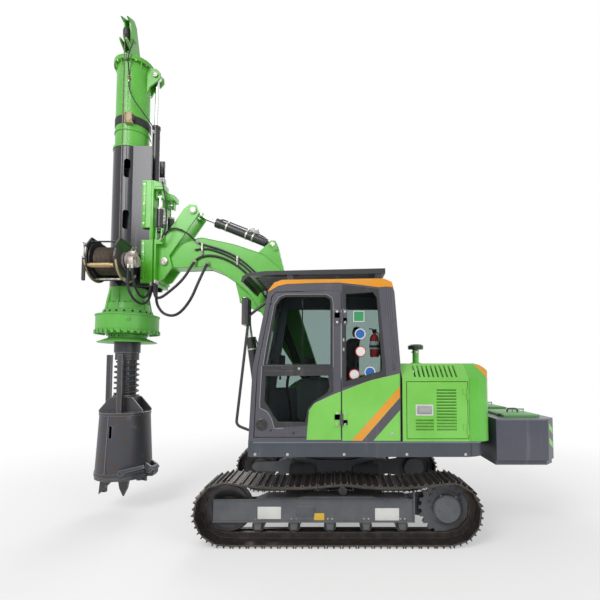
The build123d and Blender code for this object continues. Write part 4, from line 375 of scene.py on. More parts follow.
FINISH = {
    "lime": painted("lime_paint", LIME, dust=0.12, wear=0.35, roughness=0.34, coat=0.25),
    # painted light: a lighter copy of the lime paint for the hood, cab panels, grille blades, chevrons and
    # lower hinge, making up for the light these side faces get less of
    "lime_panel_lit": painted("panel_lime_lit_copy", (0.205, 0.60, 0.090, 1), dust=0.10, wear=0.25, roughness=0.34,
                          coat=0.25),
    # painted shade: a darker copy of the lime paint for the upper mast tube, its head and collars, against
    # the extra light they take from the key lamp; their lighter dust and heavier wear are real
    "lime_mast_shaded": painted("mast_lime_shaded_copy", (0.100, 0.43, 0.040, 1), dust=0.08, wear=0.55, roughness=0.36,
                         coat=0.2),
    "lime_lid": painted("lid_lime_paint", (0.10, 0.33, 0.085, 1), dust=0.3, wear=0.4, roughness=0.42,
                        coat=0.1),
    "lime_drive": painted("drive_lime_paint", (0.105, 0.46, 0.050, 1), dust=0.25, ground=4.5, wear=0.7,
                          roughness=0.42, coat=0.15),
    "cab": painted("cab_grey_paint", CAB_GREY, dust=0.2, wear=0.35, roughness=0.38),
    "deck": painted("deck_grey_paint", DECK_GREY, dust=0.35, wear=0.5, roughness=0.42),
    "frame": painted("frame_grey_paint", FRAME_GREY, dust=0.75, dust_colour=(0.27, 0.25, 0.22, 1), wear=0.5,
                     roughness=0.48, coat=0.1),
    "box": painted("box_grey_paint", BOX_GREY, dust=0.3, wear=0.5, roughness=0.42),
    "black": painted("black_paint", SATIN_BLACK, undercoat=BARE_STEEL, dust=0.25, wear=0.3, roughness=0.36),
    "mast_black": painted("mast_black_paint", (0.016, 0.016, 0.024, 1), undercoat=BARE_STEEL, dust=0.0,
                          wear=0.45, roughness=0.20, coat=0.0),
    "orange": painted("orange_paint", ORANGE, dust=0.1, wear=0.2, roughness=0.35),
    "silver": painted("silver_paint", (0.42, 0.42, 0.42, 1), dust=0.15, wear=0.2, roughness=0.35),
    "white": painted("white_paint", (0.75, 0.75, 0.73, 1), dust=0.15, wear=0.15, roughness=0.4),
    "bronze": metal("bronze_plating", (0.42, 0.31, 0.16, 1), bright=(0.85, 0.72, 0.48, 1), soil=0.12,
                    polish=0.9, metallic=0.85, grain=0.4),
    "casting": metal("pale_casting", (0.52, 0.45, 0.42, 1), bright=(0.7, 0.66, 0.62, 1), soil=0.25,
                     polish=0.5, metallic=0.35, grain=1.6),
    "track": metal("track_steel", (0.038, 0.034, 0.032, 1), bright=(0.24, 0.22, 0.20, 1), soil=0.42,
                   polish=0.75, metallic=0.5, soil_colour=(0.13, 0.105, 0.08, 1)),
    "roller": metal("roller_steel", (0.05, 0.052, 0.058, 1), bright=(0.25, 0.24, 0.23, 1), soil=0.38,
                    polish=0.7, metallic=0.5, soil_colour=(0.17, 0.14, 0.11, 1)),
    "tool": metal("digging_steel", (0.07, 0.075, 0.09, 1), bright=(0.42, 0.41, 0.41, 1), soil=0.46,
                  polish=0.9, metallic=0.55, grain=1.4, soil_colour=(0.33, 0.28, 0.22, 1)),
    "rope": metal("wire_rope", (0.13, 0.11, 0.10, 1), bright=(0.42, 0.38, 0.34, 1), soil=0.2, polish=0.8,
                  metallic=0.7, grain=1.5),
    "zinc": metal("zinc_plating", (0.52, 0.50, 0.45, 1), bright=(0.8, 0.79, 0.75, 1), soil=0.1, polish=0.6,
                  metallic=0.8, grain=0.5),
    "chrome": smooth_metal("hard_chrome", (0.78, 0.79, 0.80, 1), 0.12),
    "engine": metal("engine_casting", (0.09, 0.09, 0.095, 1), soil=0.3, polish=0.4, metallic=0.4),
    "glass": clear_glass("cab_glass", (0.46, 0.54, 0.52, 1)),
    "rubber": rubber("hose_rubber"),
    "seal": rubber("seal_rubber", (0.012, 0.012, 0.013, 1), 0.6, 120.0),
    "seat": fabric("seat_cloth", (0.030, 0.030, 0.034, 1)),
    "plastic": painted("moulded_plastic", (0.030, 0.030, 0.033, 1), dust=0.2, wear=0.05, roughness=0.6,
                       coat=0.0),
    # painted highlight: pale lime for the light caught along the green panels' crease
    "lime_crease_highlight": painted("painted_highlight_lime", (0.32, 0.60, 0.20, 1), dust=0.1, wear=0.1, roughness=0.35),
    "sign_blue": painted("sign_blue", (0.02, 0.12, 0.42, 1), dust=0.12, wear=0.05, roughness=0.4),
    "sign_red": painted("sign_red", (0.50, 0.02, 0.02, 1), dust=0.12, wear=0.05, roughness=0.4),
    "sign_green": painted("sign_green", (0.03, 0.28, 0.10, 1), dust=0.12, wear=0.05, roughness=0.4),
    "yellow": painted("yellow_paint", (0.78, 0.50, 0.03, 1), dust=0.2, wear=0.2, roughness=0.4),
    "tan": painted("tan_paint", (0.47, 0.36, 0.21, 1), dust=0.1, wear=0.2, roughness=0.5, coat=0.0),
    "edge": painted("edge_paint", (0.14, 0.16, 0.20, 1), dust=0.3, wear=0.4, roughness=0.4),
    "rope_lay": metal("wound_rope", (0.11, 0.085, 0.065, 1), bright=(0.34, 0.28, 0.22, 1), soil=0.15,
                      polish=0.5, metallic=0.55, grain=2.5),
}

NODE_FINISH = {
    # finish: the nodes that have it
    "frame": "carbody track_frame_left track_frame_right sprockets",
    "roller": "slew_ring idlers track_rollers",
    "track": "track_left track_right",
    "deck": "platform",
    "lime": "counterweight exhaust_stack right_tanks boom carrier carriage",
    "cab": "cab_shell cab_door",
    "glass": "cab_glass door_glass",
    "seat": "cab_seat",
    "black": "cab_guard handrail_mirror lift_barrel tilt_barrel roll_barrel_left roll_barrel_right "
             "crowd_barrel winch_frame winch_drum",
    "lime_panel_lit": "engine_hood hood_door_left hood_door_right",
    "engine": "engine_block sheave",
    "box": "rear_box",
    "lime_lid": "box_lid_left box_lid_right",
    "chrome": "lift_rod tilt_rod roll_rod_left roll_rod_right crowd_rod",
    "mast_black": "mast_lower_tube",
    "lime_mast_shaded": "mast_upper_tube mast_head",
    "lime_drive": "rotary_drive drive_flare",
    "casting": "winch_motor",
    "rope": "hoist_rope",
    "tool": "drive_stub kelly_bar kelly_spring bucket_shell bucket_gate",
}


def dress(node, finish):
    """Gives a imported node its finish."""
    mesh = nodes[node].data
    mesh.materials.clear()
    mesh.materials.append(FINISH[finish])


for finish, members in NODE_FINISH.items():
    for node in members.split():
        dress(node, finish)


# Modelling helpers
def along(axis, amount):
    """Vector of an amount along x, y or z."""
    return Vector([amount if letter == axis else 0 for letter in "xyz"])


def block(low, high, bevel=0.003, segments=2):
    """Block between two corners with rounded edges."""
    clear_selection()
    low, high = Vector(low), Vector(high)
    bpy.ops.mesh.primitive_cube_add(size=1, location=(low + high) / 2, scale=high - low)
    bpy.ops.object.transform_apply(location=True, rotation=True, scale=True)
    bpy.ops.object.mode_set(mode="EDIT")
    bpy.ops.mesh.select_all(action="SELECT")
    bpy.ops.mesh.bevel(offset=bevel, segments=segments, affect="EDGES")
    bpy.ops.object.mode_set(mode="OBJECT")
    return bpy.context.object


def outwards(bevel=0):
    """Turns all faces outwards, bevels the edges where asked and leaves edit mode."""
    bpy.ops.mesh.select_all(action="SELECT")
    bpy.ops.mesh.normals_make_consistent(inside=False)
    if bevel:
        bpy.ops.mesh.bevel(offset=bevel, segments=1, affect="EDGES")
    bpy.ops.object.mode_set(mode="OBJECT")


def drawn(outline, axis, at):
    """Flat face drawn across an axis, left in edit mode: (x, z) for y, (y, z) for x, (x, y) for z."""
    clear_selection()
    points = [Vector({"x": (at, a, b), "y": (a, at, b), "z": (a, b, at)}[axis]) for a, b in outline]
    bpy.ops.mesh.primitive_plane_add(size=0.01, location=points[0])
    bpy.ops.object.transform_apply(location=True, rotation=True, scale=True)
    bpy.ops.object.mode_set(mode="EDIT")
    bpy.ops.mesh.select_all(action="SELECT")
    bpy.ops.mesh.merge(type="CENTER")
    for before, after in zip(points, points[1:]):
        bpy.ops.mesh.extrude_region_move(TRANSFORM_OT_translate={"value": after - before})
    bpy.ops.mesh.select_all(action="SELECT")
    bpy.ops.mesh.edge_face_add()
    return bpy.context.object


def plate(outline, axis, low, high, bevel=0.0015):
    """Plate with an outline across an axis, from low to high."""
    made = drawn(outline, axis, low)
    bpy.ops.mesh.extrude_region_move(TRANSFORM_OT_translate={"value": along(axis, high - low)})
    outwards(bevel)
    return made


def ring(outline, axis, low, high, width):
    """Frame of an even width that runs inside an outline."""
    made = drawn(outline, axis, low)
    bpy.ops.mesh.inset(thickness=width, depth=0)
    bpy.ops.mesh.delete(type="FACE")
    bpy.ops.mesh.select_all(action="SELECT")
    bpy.ops.mesh.extrude_region_move(TRANSFORM_OT_translate={"value": along(axis, high - low)})
    outwards()
    return made


def cut(piece, cutter):
    """Takes one piece's shape out of another."""
    pick(piece)
    modifier = piece.modifiers.new("cut", "BOOLEAN")
    modifier.operation = "DIFFERENCE"
    modifier.solver = "EXACT"
    modifier.object = cutter
    bpy.ops.object.modifier_apply(modifier=modifier.name)
    bpy.data.objects.remove(cutter)
    return piece


def grown(outline, by):
    """Outline moved outwards by a distance, inwards where it is negative."""
    points = [Vector(point) for point in outline]
    area = sum(a.x * b.y - b.x * a.y for a, b in zip(points, points[1:] + points[:1]))
    side = 1 if area > 0 else -1
    moved = []
    for before, here, after in zip(points[-1:] + points[:-1], points, points[1:] + points[:1]):
        normals = [Vector((leg.y, -leg.x)).normalized() * side for leg in (here - before, after - here)]
        mean = (normals[0] + normals[1]).normalized()
        moved.append(tuple(here + mean * by / max(mean.dot(normals[0]), 0.3)))
    return moved


def disc(centre, radius, sides=20):
    """Round outline about a centre."""
    return [(centre[0] + radius * cos(2 * pi * n / sides), centre[1] + radius * sin(2 * pi * n / sides))
            for n in range(sides)]


def side_line(points, y, radius):
    """Thin bead or bar along (x, z) points at one y."""
    return tube([(x, y, z) for x, z in points], radius, 2, 2)


def turned(profile, base, direction=(0, 0, 1), sides=24):
    """Turned piece: a ring extruded and resized through (radius, height) stations above a base point."""
    clear_selection()
    radius, height = profile[0]
    bpy.ops.mesh.primitive_circle_add(vertices=sides, radius=radius, fill_type="NGON",
                                      location=(0, 0, height))
    made = bpy.context.object
    bpy.ops.object.transform_apply(location=True, rotation=True, scale=True)
    bpy.ops.object.mode_set(mode="EDIT")
    bpy.ops.mesh.select_all(action="SELECT")
    for next_radius, next_height in profile[1:]:
        bpy.ops.mesh.extrude_region_move(TRANSFORM_OT_translate={"value": (0, 0, next_height - height)})
        share = next_radius / radius
        bpy.ops.transform.resize(value=(share, share, 1), center_override=(0, 0, next_height))
        radius, height = next_radius, next_height
    outwards()
    turn = Vector((0, 0, 1)).rotation_difference(Vector(direction)).to_matrix().to_4x4()
    made.data.transform(Matrix.Translation(base) @ turn)
    return made


def bolt(base, direction, radius=0.012, height=0.010):
    """Hexagon bolt head on a washer."""
    return turned(((radius * 1.5, 0), (radius * 1.5, height * 0.25), (radius, height * 0.25),
                   (radius, height), (radius * 0.8, height * 1.1)), base, direction, sides=6)


def smooth_line(points, order, steps):
    """Curve object of a smooth line that follows control points."""
    curve = bpy.data.curves.new("line", "CURVE")
    curve.dimensions = "3D"
    spline = curve.splines.new("NURBS")
    spline.points.add(len(points) - 1)
    for point, place in zip(spline.points, points):
        point.co = (*place, 1)
    spline.order_u = order
    spline.use_endpoint_u = True
    spline.resolution_u = steps
    made = bpy.data.objects.new("line", curve)
    bpy.context.scene.collection.objects.link(made)
    return made


def tube(points, radius, sides=3, order=3):
    """Pipe or hose along a smooth line of control points."""
    made = smooth_line(points, order, 5)
    made.data.bevel_depth = radius
    made.data.bevel_resolution = sides
    made.data.use_fill_caps = True
    pick(made)
    bpy.ops.object.convert(target="MESH")
    return bpy.context.object


def twin(piece):
    """Copy of a piece with its own mesh."""
    other = piece.copy()
    other.data = piece.data.copy()
    bpy.context.scene.collection.objects.link(other)
    return other


def copies(piece, moves):
    """A piece and its copies, moved by matrices or vectors."""
    made = [piece]
    for move in moves:
        other = twin(piece)
        other.data.transform(move if isinstance(move, Matrix) else Matrix.Translation(move))
        made.append(other)
    return made


def spun(piece, centre, axis, count, step):
    """A piece and its copies about an axis through a centre, a step of degrees apart."""
    there, back = Matrix.Translation(centre), Matrix.Translation(-Vector(centre))
    return copies(piece, [there @ Matrix.Rotation(radians(step * n), 4, axis) @ back
                          for n in range(1, count)])


def joined(pieces):
    """Joins pieces into one mesh."""
    clear_selection()
    for piece in pieces:
        piece.select_set(True)
    bpy.context.view_layer.objects.active = pieces[0]
    if len(pieces) > 1:
        bpy.ops.object.join()
    return bpy.context.view_layer.objects.active


def mirrored(piece):
    """The same piece on the other side of the machine."""
    other = twin(piece)
    other.data.transform(Matrix.Diagonal((1, -1, 1, 1)))
    other.data.flip_normals()
    return other


def fitted(name, pieces, body, finish, angle=35):
    """Joins pieces under one name, gives them their finish and lets them ride on a body."""
    piece = joined(pieces if isinstance(pieces, list) else [pieces])
    piece.name = name
    piece.data.name = name
    piece.data.materials.clear()
    piece.data.materials.append(FINISH[finish])
    pick(piece)
    bpy.ops.object.shade_smooth_by_angle(angle=radians(angle))
    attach(piece, body)
    return piece


# Side of the machine and the sign of its y
SIDES = (("left", 1), ("right", -1))

# Cab side: borders, panel, stripes and small fittings
SIDE = 1.030
GLASS_FACE = 1.0145
DOOR_UPPER = ((0.018, 1.752), (0.700, 1.752), (0.674, 1.930), (0.594, 2.372), (0.550, 2.440), (0.486, 2.466),
              (0.080, 2.466), (0.030, 2.436), (0.018, 2.383))
LOWER_ZONE = ((0.734, 1.344), (0.716, 1.749), (0.013, 1.749), (0.004, 1.497), (0.197, 1.386), (0.246, 1.316),
              (0.263, 1.164), (0.586, 1.137), (0.614, 1.233), (0.657, 1.303))
LOWER_CLEAR = ((0.690, 1.400), (0.683, 1.652), (0.058, 1.657), (0.046, 1.539), (0.072, 1.483), (0.211, 1.393),
               (0.260, 1.330), (0.285, 1.199), (0.551, 1.199), (0.601, 1.261), (0.640, 1.330))
QUARTER_ZONE = ((-0.084, 2.575), (-0.451, 2.530), (-0.517, 1.748), (-0.523, 1.650), (-0.084, 1.535))
QUARTER_CLEAR = ((-0.118, 2.478), (-0.392, 2.498), (-0.432, 2.440), (-0.480, 1.775), (-0.474, 1.700),
                 (-0.118, 1.600))
PANEL_DOOR = ((0.272, 1.022), (0.263, 1.164), (0.252, 1.303), (0.197, 1.379), (0.002, 1.469), (-0.068, 1.496),
              (-0.068, 1.022))
PANEL_REAR = ((-0.082, 1.014), (-0.082, 1.501), (-0.362, 1.608), (-0.656, 1.676), (-0.656, 1.014))
ORANGE_STRIPE = ((-0.172, 1.014), (-0.276, 1.014), (-0.656, 1.443), (-0.656, 1.548))
GREY_STRIPE = ((-0.279, 1.014), (-0.388, 1.014), (-0.656, 1.316), (-0.656, 1.439))
ROOF_TRIM = ((0.670, 2.505), (0.603, 2.594), (0.521, 2.623), (-0.500, 2.637), (-0.582, 2.602),
             (-0.600, 2.545), (-0.529, 2.552), (-0.451, 2.546), (-0.225, 2.576), (-0.041, 2.594),
             (0.200, 2.589), (0.483, 2.578), (0.568, 2.557), (0.646, 2.509))

fitted("door_window_seal", ring(grown(DOOR_UPPER, 0.006), "y", GLASS_FACE, SIDE + 0.003, 0.024), "cab_door",
       "seal")
fitted("door_window_trim", ring(grown(DOOR_UPPER, 0.011), "y", SIDE - 0.001, SIDE + 0.004, 0.004), "cab_door",
       "silver")
fitted("door_lower_border", cut(plate(LOWER_ZONE, "y", GLASS_FACE, SIDE + 0.004, 0),
                                plate(LOWER_CLEAR, "y", 1.0, 1.1, 0)), "cab_door", "black")
fitted("door_lower_trim",
       side_line(((0.500, 1.140), (0.590, 1.132), (0.620, 1.231), (0.661, 1.297), (0.741, 1.338),
                  (0.722, 1.750)), SIDE + 0.001, 0.003), "cab_door", "silver")
fitted("door_sill", [block((0.010, SIDE - 0.002, 1.742), (0.716, SIDE + 0.007, 1.757), 0.003),
                     block((0.010, SIDE - 0.002, 1.700), (0.716, SIDE + 0.005, 1.706), 0.002)],
       "cab_door", "black")
pull = block((0.372, SIDE - 0.001, 1.712), (0.528, SIDE + 0.016, 1.738), 0.006, 3)
cut(pull, block((0.384, SIDE + 0.006, 1.706), (0.516, SIDE + 0.030, 1.730), 0.003))
fitted("door_pull", pull, "cab_door", "black")
fitted("door_lock", turned(((0.013, 0), (0.013, 0.004), (0.008, 0.006)), (0.350, SIDE, 1.727), (0, 1, 0), 16),
       "cab_door", "silver")
fitted("window_slide_bar", block((0.314, 0.992, 1.735), (0.326, 1.006, 2.480), 0.003), "cab_door", "black")
fitted("quarter_border", cut(plate(QUARTER_ZONE, "y", GLASS_FACE, SIDE + 0.003, 0),
                             plate(QUARTER_CLEAR, "y", 1.0, 1.1, 0)), "upper", "black")
fitted("quarter_bead", ring(grown(QUARTER_CLEAR, 0.004), "y", SIDE, SIDE + 0.005, 0.007), "upper", "seal")

fitted("cab_panel_door", plate(PANEL_DOOR, "y", SIDE - 0.001, SIDE + 0.002), "cab_door", "lime_panel_lit")
fitted("cab_panel_rear", plate(PANEL_REAR, "y", SIDE - 0.001, SIDE + 0.002), "upper", "lime_panel_lit")
# Pale lime lines along the top edges of the green cab panels: a painted highlight on the crease
fitted("panel_crease_highlight_door", side_line(((0.252, 1.303), (0.197, 1.379), (0.002, 1.469), (-0.068, 1.496)),
                                    SIDE + 0.002, 0.0028), "cab_door", "lime_crease_highlight")
fitted("panel_crease_highlight_rear", side_line(((-0.082, 1.501), (-0.362, 1.608), (-0.656, 1.676)),
                                    SIDE + 0.002, 0.0028), "upper", "lime_crease_highlight")
fitted("orange_stripe", plate(ORANGE_STRIPE, "y", SIDE, SIDE + 0.0032, 0.0004), "upper", "orange")
fitted("grey_stripe", plate(GREY_STRIPE, "y", SIDE, SIDE + 0.0032, 0.0004), "upper", "cab")
fitted("roof_trim", plate(ROOF_TRIM, "y", SIDE - 0.002, SIDE + 0.005, 0.0015), "upper", "orange")

# Leaves of the door hinges, with their bolts
HINGE_LEAVES = (
    # z_low, z_high, finish
    (1.150, 1.312, "lime_panel_lit"),
    (2.164, 2.326, "cab"),
)
for number, (z_low, z_high, finish) in enumerate(HINGE_LEAVES, 1):
    for place, body, x_low, x_high in (("door", "cab_door", -0.060, -0.004),
                                       ("post", "upper", -0.132, -0.090)):
        leaf = block((x_low, SIDE - 0.001, z_low), (x_high, SIDE + 0.010, z_high), 0.003)
        fitted(f"hinge_leaf_{place}_{number}", leaf, body, finish)
        heads = [bolt(((x_low + x_high) / 2, SIDE + 0.009, z), (0, 1, 0), 0.008, 0.006)
                 for z in (z_low + 0.028, z_high - 0.028)]
        fitted(f"hinge_bolts_{place}_{number}", heads, body, "zinc")

# Vent, stops and bolts on the door and cab
vent = turned(((0.060, 0), (0.060, 0.006), (0.052, 0.010), (0.044, 0.010), (0.040, 0.003)),
              (0.716, SIDE, 1.172), (0, 1, 0), 32)
bars = [block((0.680, SIDE + 0.002, z - 0.003), (0.752, SIDE + 0.009, z + 0.003), 0.001)
        for z in (1.150, 1.165, 1.180, 1.195)]
fitted("door_vent", [vent] + bars, "cab_door", "black")
DOOR_STOPS = ((0.640, 2.385, 0.011), (0.405, 1.089, 0.012), (0.630, 1.118, 0.010))
fitted("door_stops", [turned(((r * 1.3, 0), (r * 1.3, 0.003), (r, 0.004), (r * 0.8, 0.010)), (x, SIDE, z),
                             (0, 1, 0), 12) for x, z, r in DOOR_STOPS], "cab_door", "black")
fitted("panel_bolt", bolt((-0.573, SIDE + 0.001, 1.081), (0, 1, 0), 0.011, 0.008), "upper", "zinc")
PILLAR_RIBS = (
    # (x, z) at the top and at the foot
    ((-0.535, 2.500), (-0.592, 1.790)),
    ((-0.556, 2.505), (-0.612, 1.790)),
    ((-0.577, 2.505), (-0.632, 1.790)),
)
fitted("pillar_ribs", [side_line(line, SIDE + 0.001, 0.0045) for line in PILLAR_RIBS], "upper", "cab")
recess = [(-0.598 + 0.017 * cos(2 * pi * n / 16), 1.742 + 0.034 * sin(2 * pi * n / 16)) for n in range(16)]
fitted("pillar_recess", ring(recess, "y", SIDE - 0.001, SIDE + 0.004, 0.006), "upper", "black")
fitted("pillar_plates", [block((-0.104, SIDE + 0.001, z - 0.016), (-0.088, SIDE + 0.005, z + 0.016), 0.0015)
                         for z in (2.015, 1.919)], "upper", "silver")

# Blank signs on the quarter pane
SIGNS = (
    # x, z, finish of the middle, finish of the rim
    (-0.263, 2.076, "sign_blue", "white"),
    (-0.268, 1.899, "white", "sign_red"),
    (-0.204, 1.668, "white", "sign_red"),
    (-0.360, 1.693, "sign_blue", "white"),
)
for number, (x, z, middle, rim) in enumerate(SIGNS, 1):
    face = plate(disc((x, z), 0.046, 28), "y", GLASS_FACE, GLASS_FACE + 0.0010, 0)
    fitted(f"sign_{number}", face, "upper", middle)
    edge = ring(disc((x, z), 0.054, 28), "y", GLASS_FACE, GLASS_FACE + 0.0012, 0.009)
    fitted(f"sign_rim_{number}", edge, "upper", rim)
SQUARE = ((-0.301, 2.203), (-0.199, 2.203), (-0.199, 2.305), (-0.301, 2.305))
fitted("sign_square", plate(SQUARE, "y", GLASS_FACE, GLASS_FACE + 0.0010, 0), "upper", "sign_green")
fitted("sign_square_rim", ring(grown(SQUARE, 0.004), "y", GLASS_FACE, GLASS_FACE + 0.0012, 0.006), "upper",
       "white")

# Inside the cab: seat, consoles, levers, screen and extinguisher
MOST_SWELL = 0.014


def cushion(name, low, high):
    """Upholstered pad of the seat: a rounded block, blown up a little as cloth, with a crowned top."""
    pad = block(low, high, 0.035, 3)
    pick(pad)
    remesh = pad.modifiers.new("remesh", "REMESH")
    remesh.mode = "VOXEL"
    remesh.voxel_size = 0.012
    bpy.ops.object.modifier_apply(modifier=remesh.name)
    rest = [vertex.co.copy() for vertex in pad.data.vertices]
    cloth = pad.modifiers.new("cloth", "CLOTH")
    cloth.settings.effector_weights.gravity = 0
    cloth.settings.use_pressure = True
    cloth.settings.uniform_pressure_force = 4
    for step in range(1, 16):
        bpy.context.scene.frame_set(step)
    pick(pad)
    bpy.ops.object.modifier_apply(modifier=cloth.name)
    bpy.context.scene.frame_set(1)
    for vertex, place in zip(pad.data.vertices, rest):
        moved = vertex.co - place
        if moved.length > MOST_SWELL:
            vertex.co = place + moved.normalized() * MOST_SWELL
    made = fitted(name, pad, "upper", "seat", 60)
    return made


SEAT_PADS = (
    # name, low, high
    ("seat_cushion", (-0.075, 0.370, 1.420), (0.375, 0.830, 1.540)),
    ("seat_back", (-0.255, 0.370, 1.560), (-0.140, 0.830, 2.060)),
    ("seat_head", (-0.290, 0.480, 2.080), (-0.205, 0.720, 2.185)),
)
pads = [cushion(*pad) for pad in SEAT_PADS]
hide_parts("cab_seat")
frame_pieces = [
    block((-0.10, 0.42, 1.049), (0.24, 0.78, 1.110), 0.008),
    block((-0.04, 0.47, 1.110), (0.20, 0.73, 1.330), 0.02, 3),
    block((-0.10, 0.38, 1.330), (0.36, 0.82, 1.405), 0.015, 3),
    plate(((-0.150, 1.400), (-0.085, 1.400), (-0.262, 2.150), (-0.310, 2.150)), "y", 0.560, 0.640, 0.008),
    plate(((-0.170, 1.430), (-0.140, 1.430), (-0.262, 2.060), (-0.285, 2.060)), "y", 0.395, 0.805, 0.006),
]
fitted("seat_frame", frame_pieces, "upper", "plastic")
CONSOLES = ((0.225, 0.335), (0.865, 0.975))
for number, (y_low, y_high) in enumerate(CONSOLES, 1):
    y = (y_low + y_high) / 2
    fitted(f"console_{number}", [
        plate(((-0.20, 1.049), (-0.20, 1.590), (0.30, 1.640), (0.38, 1.600), (0.36, 1.049)), "y", y_low,
              y_high, 0.010),
        turned(((0.030, 0), (0.018, 0.030), (0.010, 0.050), (0.010, 0.125), (0.019, 0.140), (0.023, 0.200),
                (0.017, 0.222)), (0.26, y, 1.630), (0.1, 0, 1), 16),
    ], "upper", "plastic")
fitted("travel_levers", [
    *[tube(((0.47, y, 1.049), (0.48, y, 1.30), (0.53, y, 1.52), (0.50, y, 1.66)), 0.009)
      for y in (0.55, 0.67)],
    *[turned(((0.014, 0), (0.018, 0.015), (0.018, 0.085), (0.012, 0.100)), (0.501, y, 1.640),
             (-0.15, 0, 1), 14) for y in (0.55, 0.67)],
    *[plate(((0.40, 1.052), (0.56, 1.090), (0.56, 1.102), (0.40, 1.064)), "y", y - 0.045, y + 0.045, 0.003)
      for y in (0.50, 0.72)],
], "upper", "plastic")
screen = block((0.575, 0.300, 1.720), (0.625, 0.520, 1.880), 0.010)
cut(screen, block((0.560, 0.318, 1.738), (0.581, 0.502, 1.862), 0.002))
fitted("screen_case", [screen, tube(((0.62, 0.41, 1.60), (0.625, 0.41, 1.68), (0.60, 0.41, 1.74)), 0.012)],
       "upper", "plastic")
fitted("extinguisher", [
    turned(((0.040, 0), (0.048, 0.012), (0.048, 0.190), (0.036, 0.222), (0.016, 0.236), (0.016, 0.250)),
           (-0.415, 0.930, 1.845))], "upper", "sign_red")
fitted("extinguisher_head", [
    turned(((0.018, 0), (0.022, 0.008), (0.022, 0.026), (0.012, 0.034)), (-0.415, 0.930, 2.094), sides=16),
    plate(((-0.440, 2.116), (-0.360, 2.134), (-0.360, 2.142), (-0.440, 2.128)), "y", 0.922, 0.938, 0.001),
    tube(((-0.430, 0.930, 2.105), (-0.475, 0.930, 2.080), (-0.472, 0.935, 1.960), (-0.466, 0.940, 1.860)),
         0.007),
    ring(disc((-0.415, 0.930), 0.054), "z", 1.940, 1.965, 0.005),
    block((-0.4900, 0.905, 1.900), (-0.466, 0.955, 2.020), 0.003),
], "upper", "plastic")
fitted("extinguisher_band", turned(((0.0485, 0), (0.0492, 0.004), (0.0492, 0.076), (0.0485, 0.080)),
                                   (-0.415, 0.930, 1.925)), "upper", "white")

# Hood, exhaust, deck edge and rear box
HOOD_FACE = 1.030
fitted("latch_plate", ring(((-0.985, 1.262), (-0.811, 1.262), (-0.811, 1.370), (-0.985, 1.370)), "y",
                           HOOD_FACE - 0.001, HOOD_FACE + 0.004, 0.013), "hood_door_left", "white")
latch = block((-0.974, HOOD_FACE - 0.001, 1.273), (-0.822, HOOD_FACE + 0.006, 1.359), 0.004)
cut(latch, block((-0.960, HOOD_FACE + 0.002, 1.288), (-0.836, HOOD_FACE + 0.020, 1.344), 0.006))
fitted("latch_dish", latch, "hood_door_left", "silver")
fitted("latch_paddle", [block((-0.945, HOOD_FACE + 0.002, 1.300), (-0.875, HOOD_FACE + 0.010, 1.332), 0.003),
                        turned(((0.012, 0), (0.012, 0.008), (0.008, 0.010)),
                               (-0.856, HOOD_FACE + 0.001, 1.316), (0, 1, 0), 14)],
       "hood_door_left", "silver")
GRILLES = (
    # name, x_low, x_high, z_low, rows
    ("high_grille", -1.218, -1.021, 1.117, 14),
    ("low_grille", -0.990, -0.812, 1.117, 4),
)
for name, x_low, x_high, z_low, rows in GRILLES:
    blade = plate(((0.9995, z_low + 0.018), (1.0335, z_low + 0.006), (1.0345, z_low + 0.009),
                   (1.0005, z_low + 0.021)), "x", x_low + 0.001, x_high - 0.001, 0)
    blades = copies(blade, [(0, 0, 0.030 * row) for row in range(1, rows)])
    fitted(f"{name}_blades", blades, "hood_door_left", "lime_panel_lit")
    screen_top = z_low + 0.030 * rows - 0.008
    fitted(f"{name}_screen", ring(((x_low - 0.02, z_low - 0.02), (x_high + 0.02, z_low - 0.02),
                                   (x_high + 0.02, screen_top + 0.02), (x_low - 0.02, screen_top + 0.02)),
                                  "y", 0.9935, 0.9985, 0.024), "hood_door_left", "black")
    # A flat black sheet just inside the louvres: painted shade standing for the dark engine bay seen between
    # the blades
    fitted(f"{name}_mesh",
           [block((x_low - 0.01, 0.9940, z_low - 0.01), (x_high + 0.01, 0.9955, screen_top + 0.01), 0.0004)],
           "hood_door_left", "seal")
fitted("hood_seam", [block((x_low, HOOD_FACE - depth, 1.010), (x_high, HOOD_FACE + 0.0006, 1.630), 0.0003)
                     for x_low, x_high, depth in ((-1.3470, -1.3435, 0.002), (-0.6815, -0.6785, 0.004))],
       "upper", "seal")

# Orange stripe laid over the counterweight's rounded corner
STRIPE_START = 1.10
stripe = drawn(((-1.440, 1.800), (-1.500, 1.800), (-1.640, 1.640), (-1.640, 1.590), (-1.560, 1.590),
                (-1.500, 1.680)), "y", STRIPE_START)
bpy.ops.mesh.subdivide(number_cuts=2)
bpy.ops.mesh.quads_convert_to_tris()
for _ in range(3):
    bpy.ops.mesh.subdivide(number_cuts=1)
bpy.ops.object.mode_set(mode="OBJECT")
wrap = stripe.modifiers.new("wrap", "SHRINKWRAP")
wrap.target = nodes["counterweight"]
wrap.wrap_method = "PROJECT"
wrap.use_project_y = True
wrap.use_negative_direction = True
wrap.use_positive_direction = False
wrap.offset = 0.0012
bpy.ops.object.modifier_apply(modifier=wrap.name)
bpy.ops.object.mode_set(mode="EDIT")
outwards()
missed = [vertex.index for vertex in stripe.data.vertices if vertex.co.y > STRIPE_START - 0.01]
if missed:
    bpy.ops.object.mode_set(mode="EDIT")
    bpy.ops.mesh.select_all(action="DESELECT")
    bpy.ops.object.mode_set(mode="OBJECT")
    for index in missed:
        stripe.data.vertices[index].select = True
    bpy.ops.object.mode_set(mode="EDIT")
    bpy.ops.mesh.delete(type="VERT")
    bpy.ops.object.mode_set(mode="OBJECT")
fitted("corner_stripe", stripe, "upper", "orange")

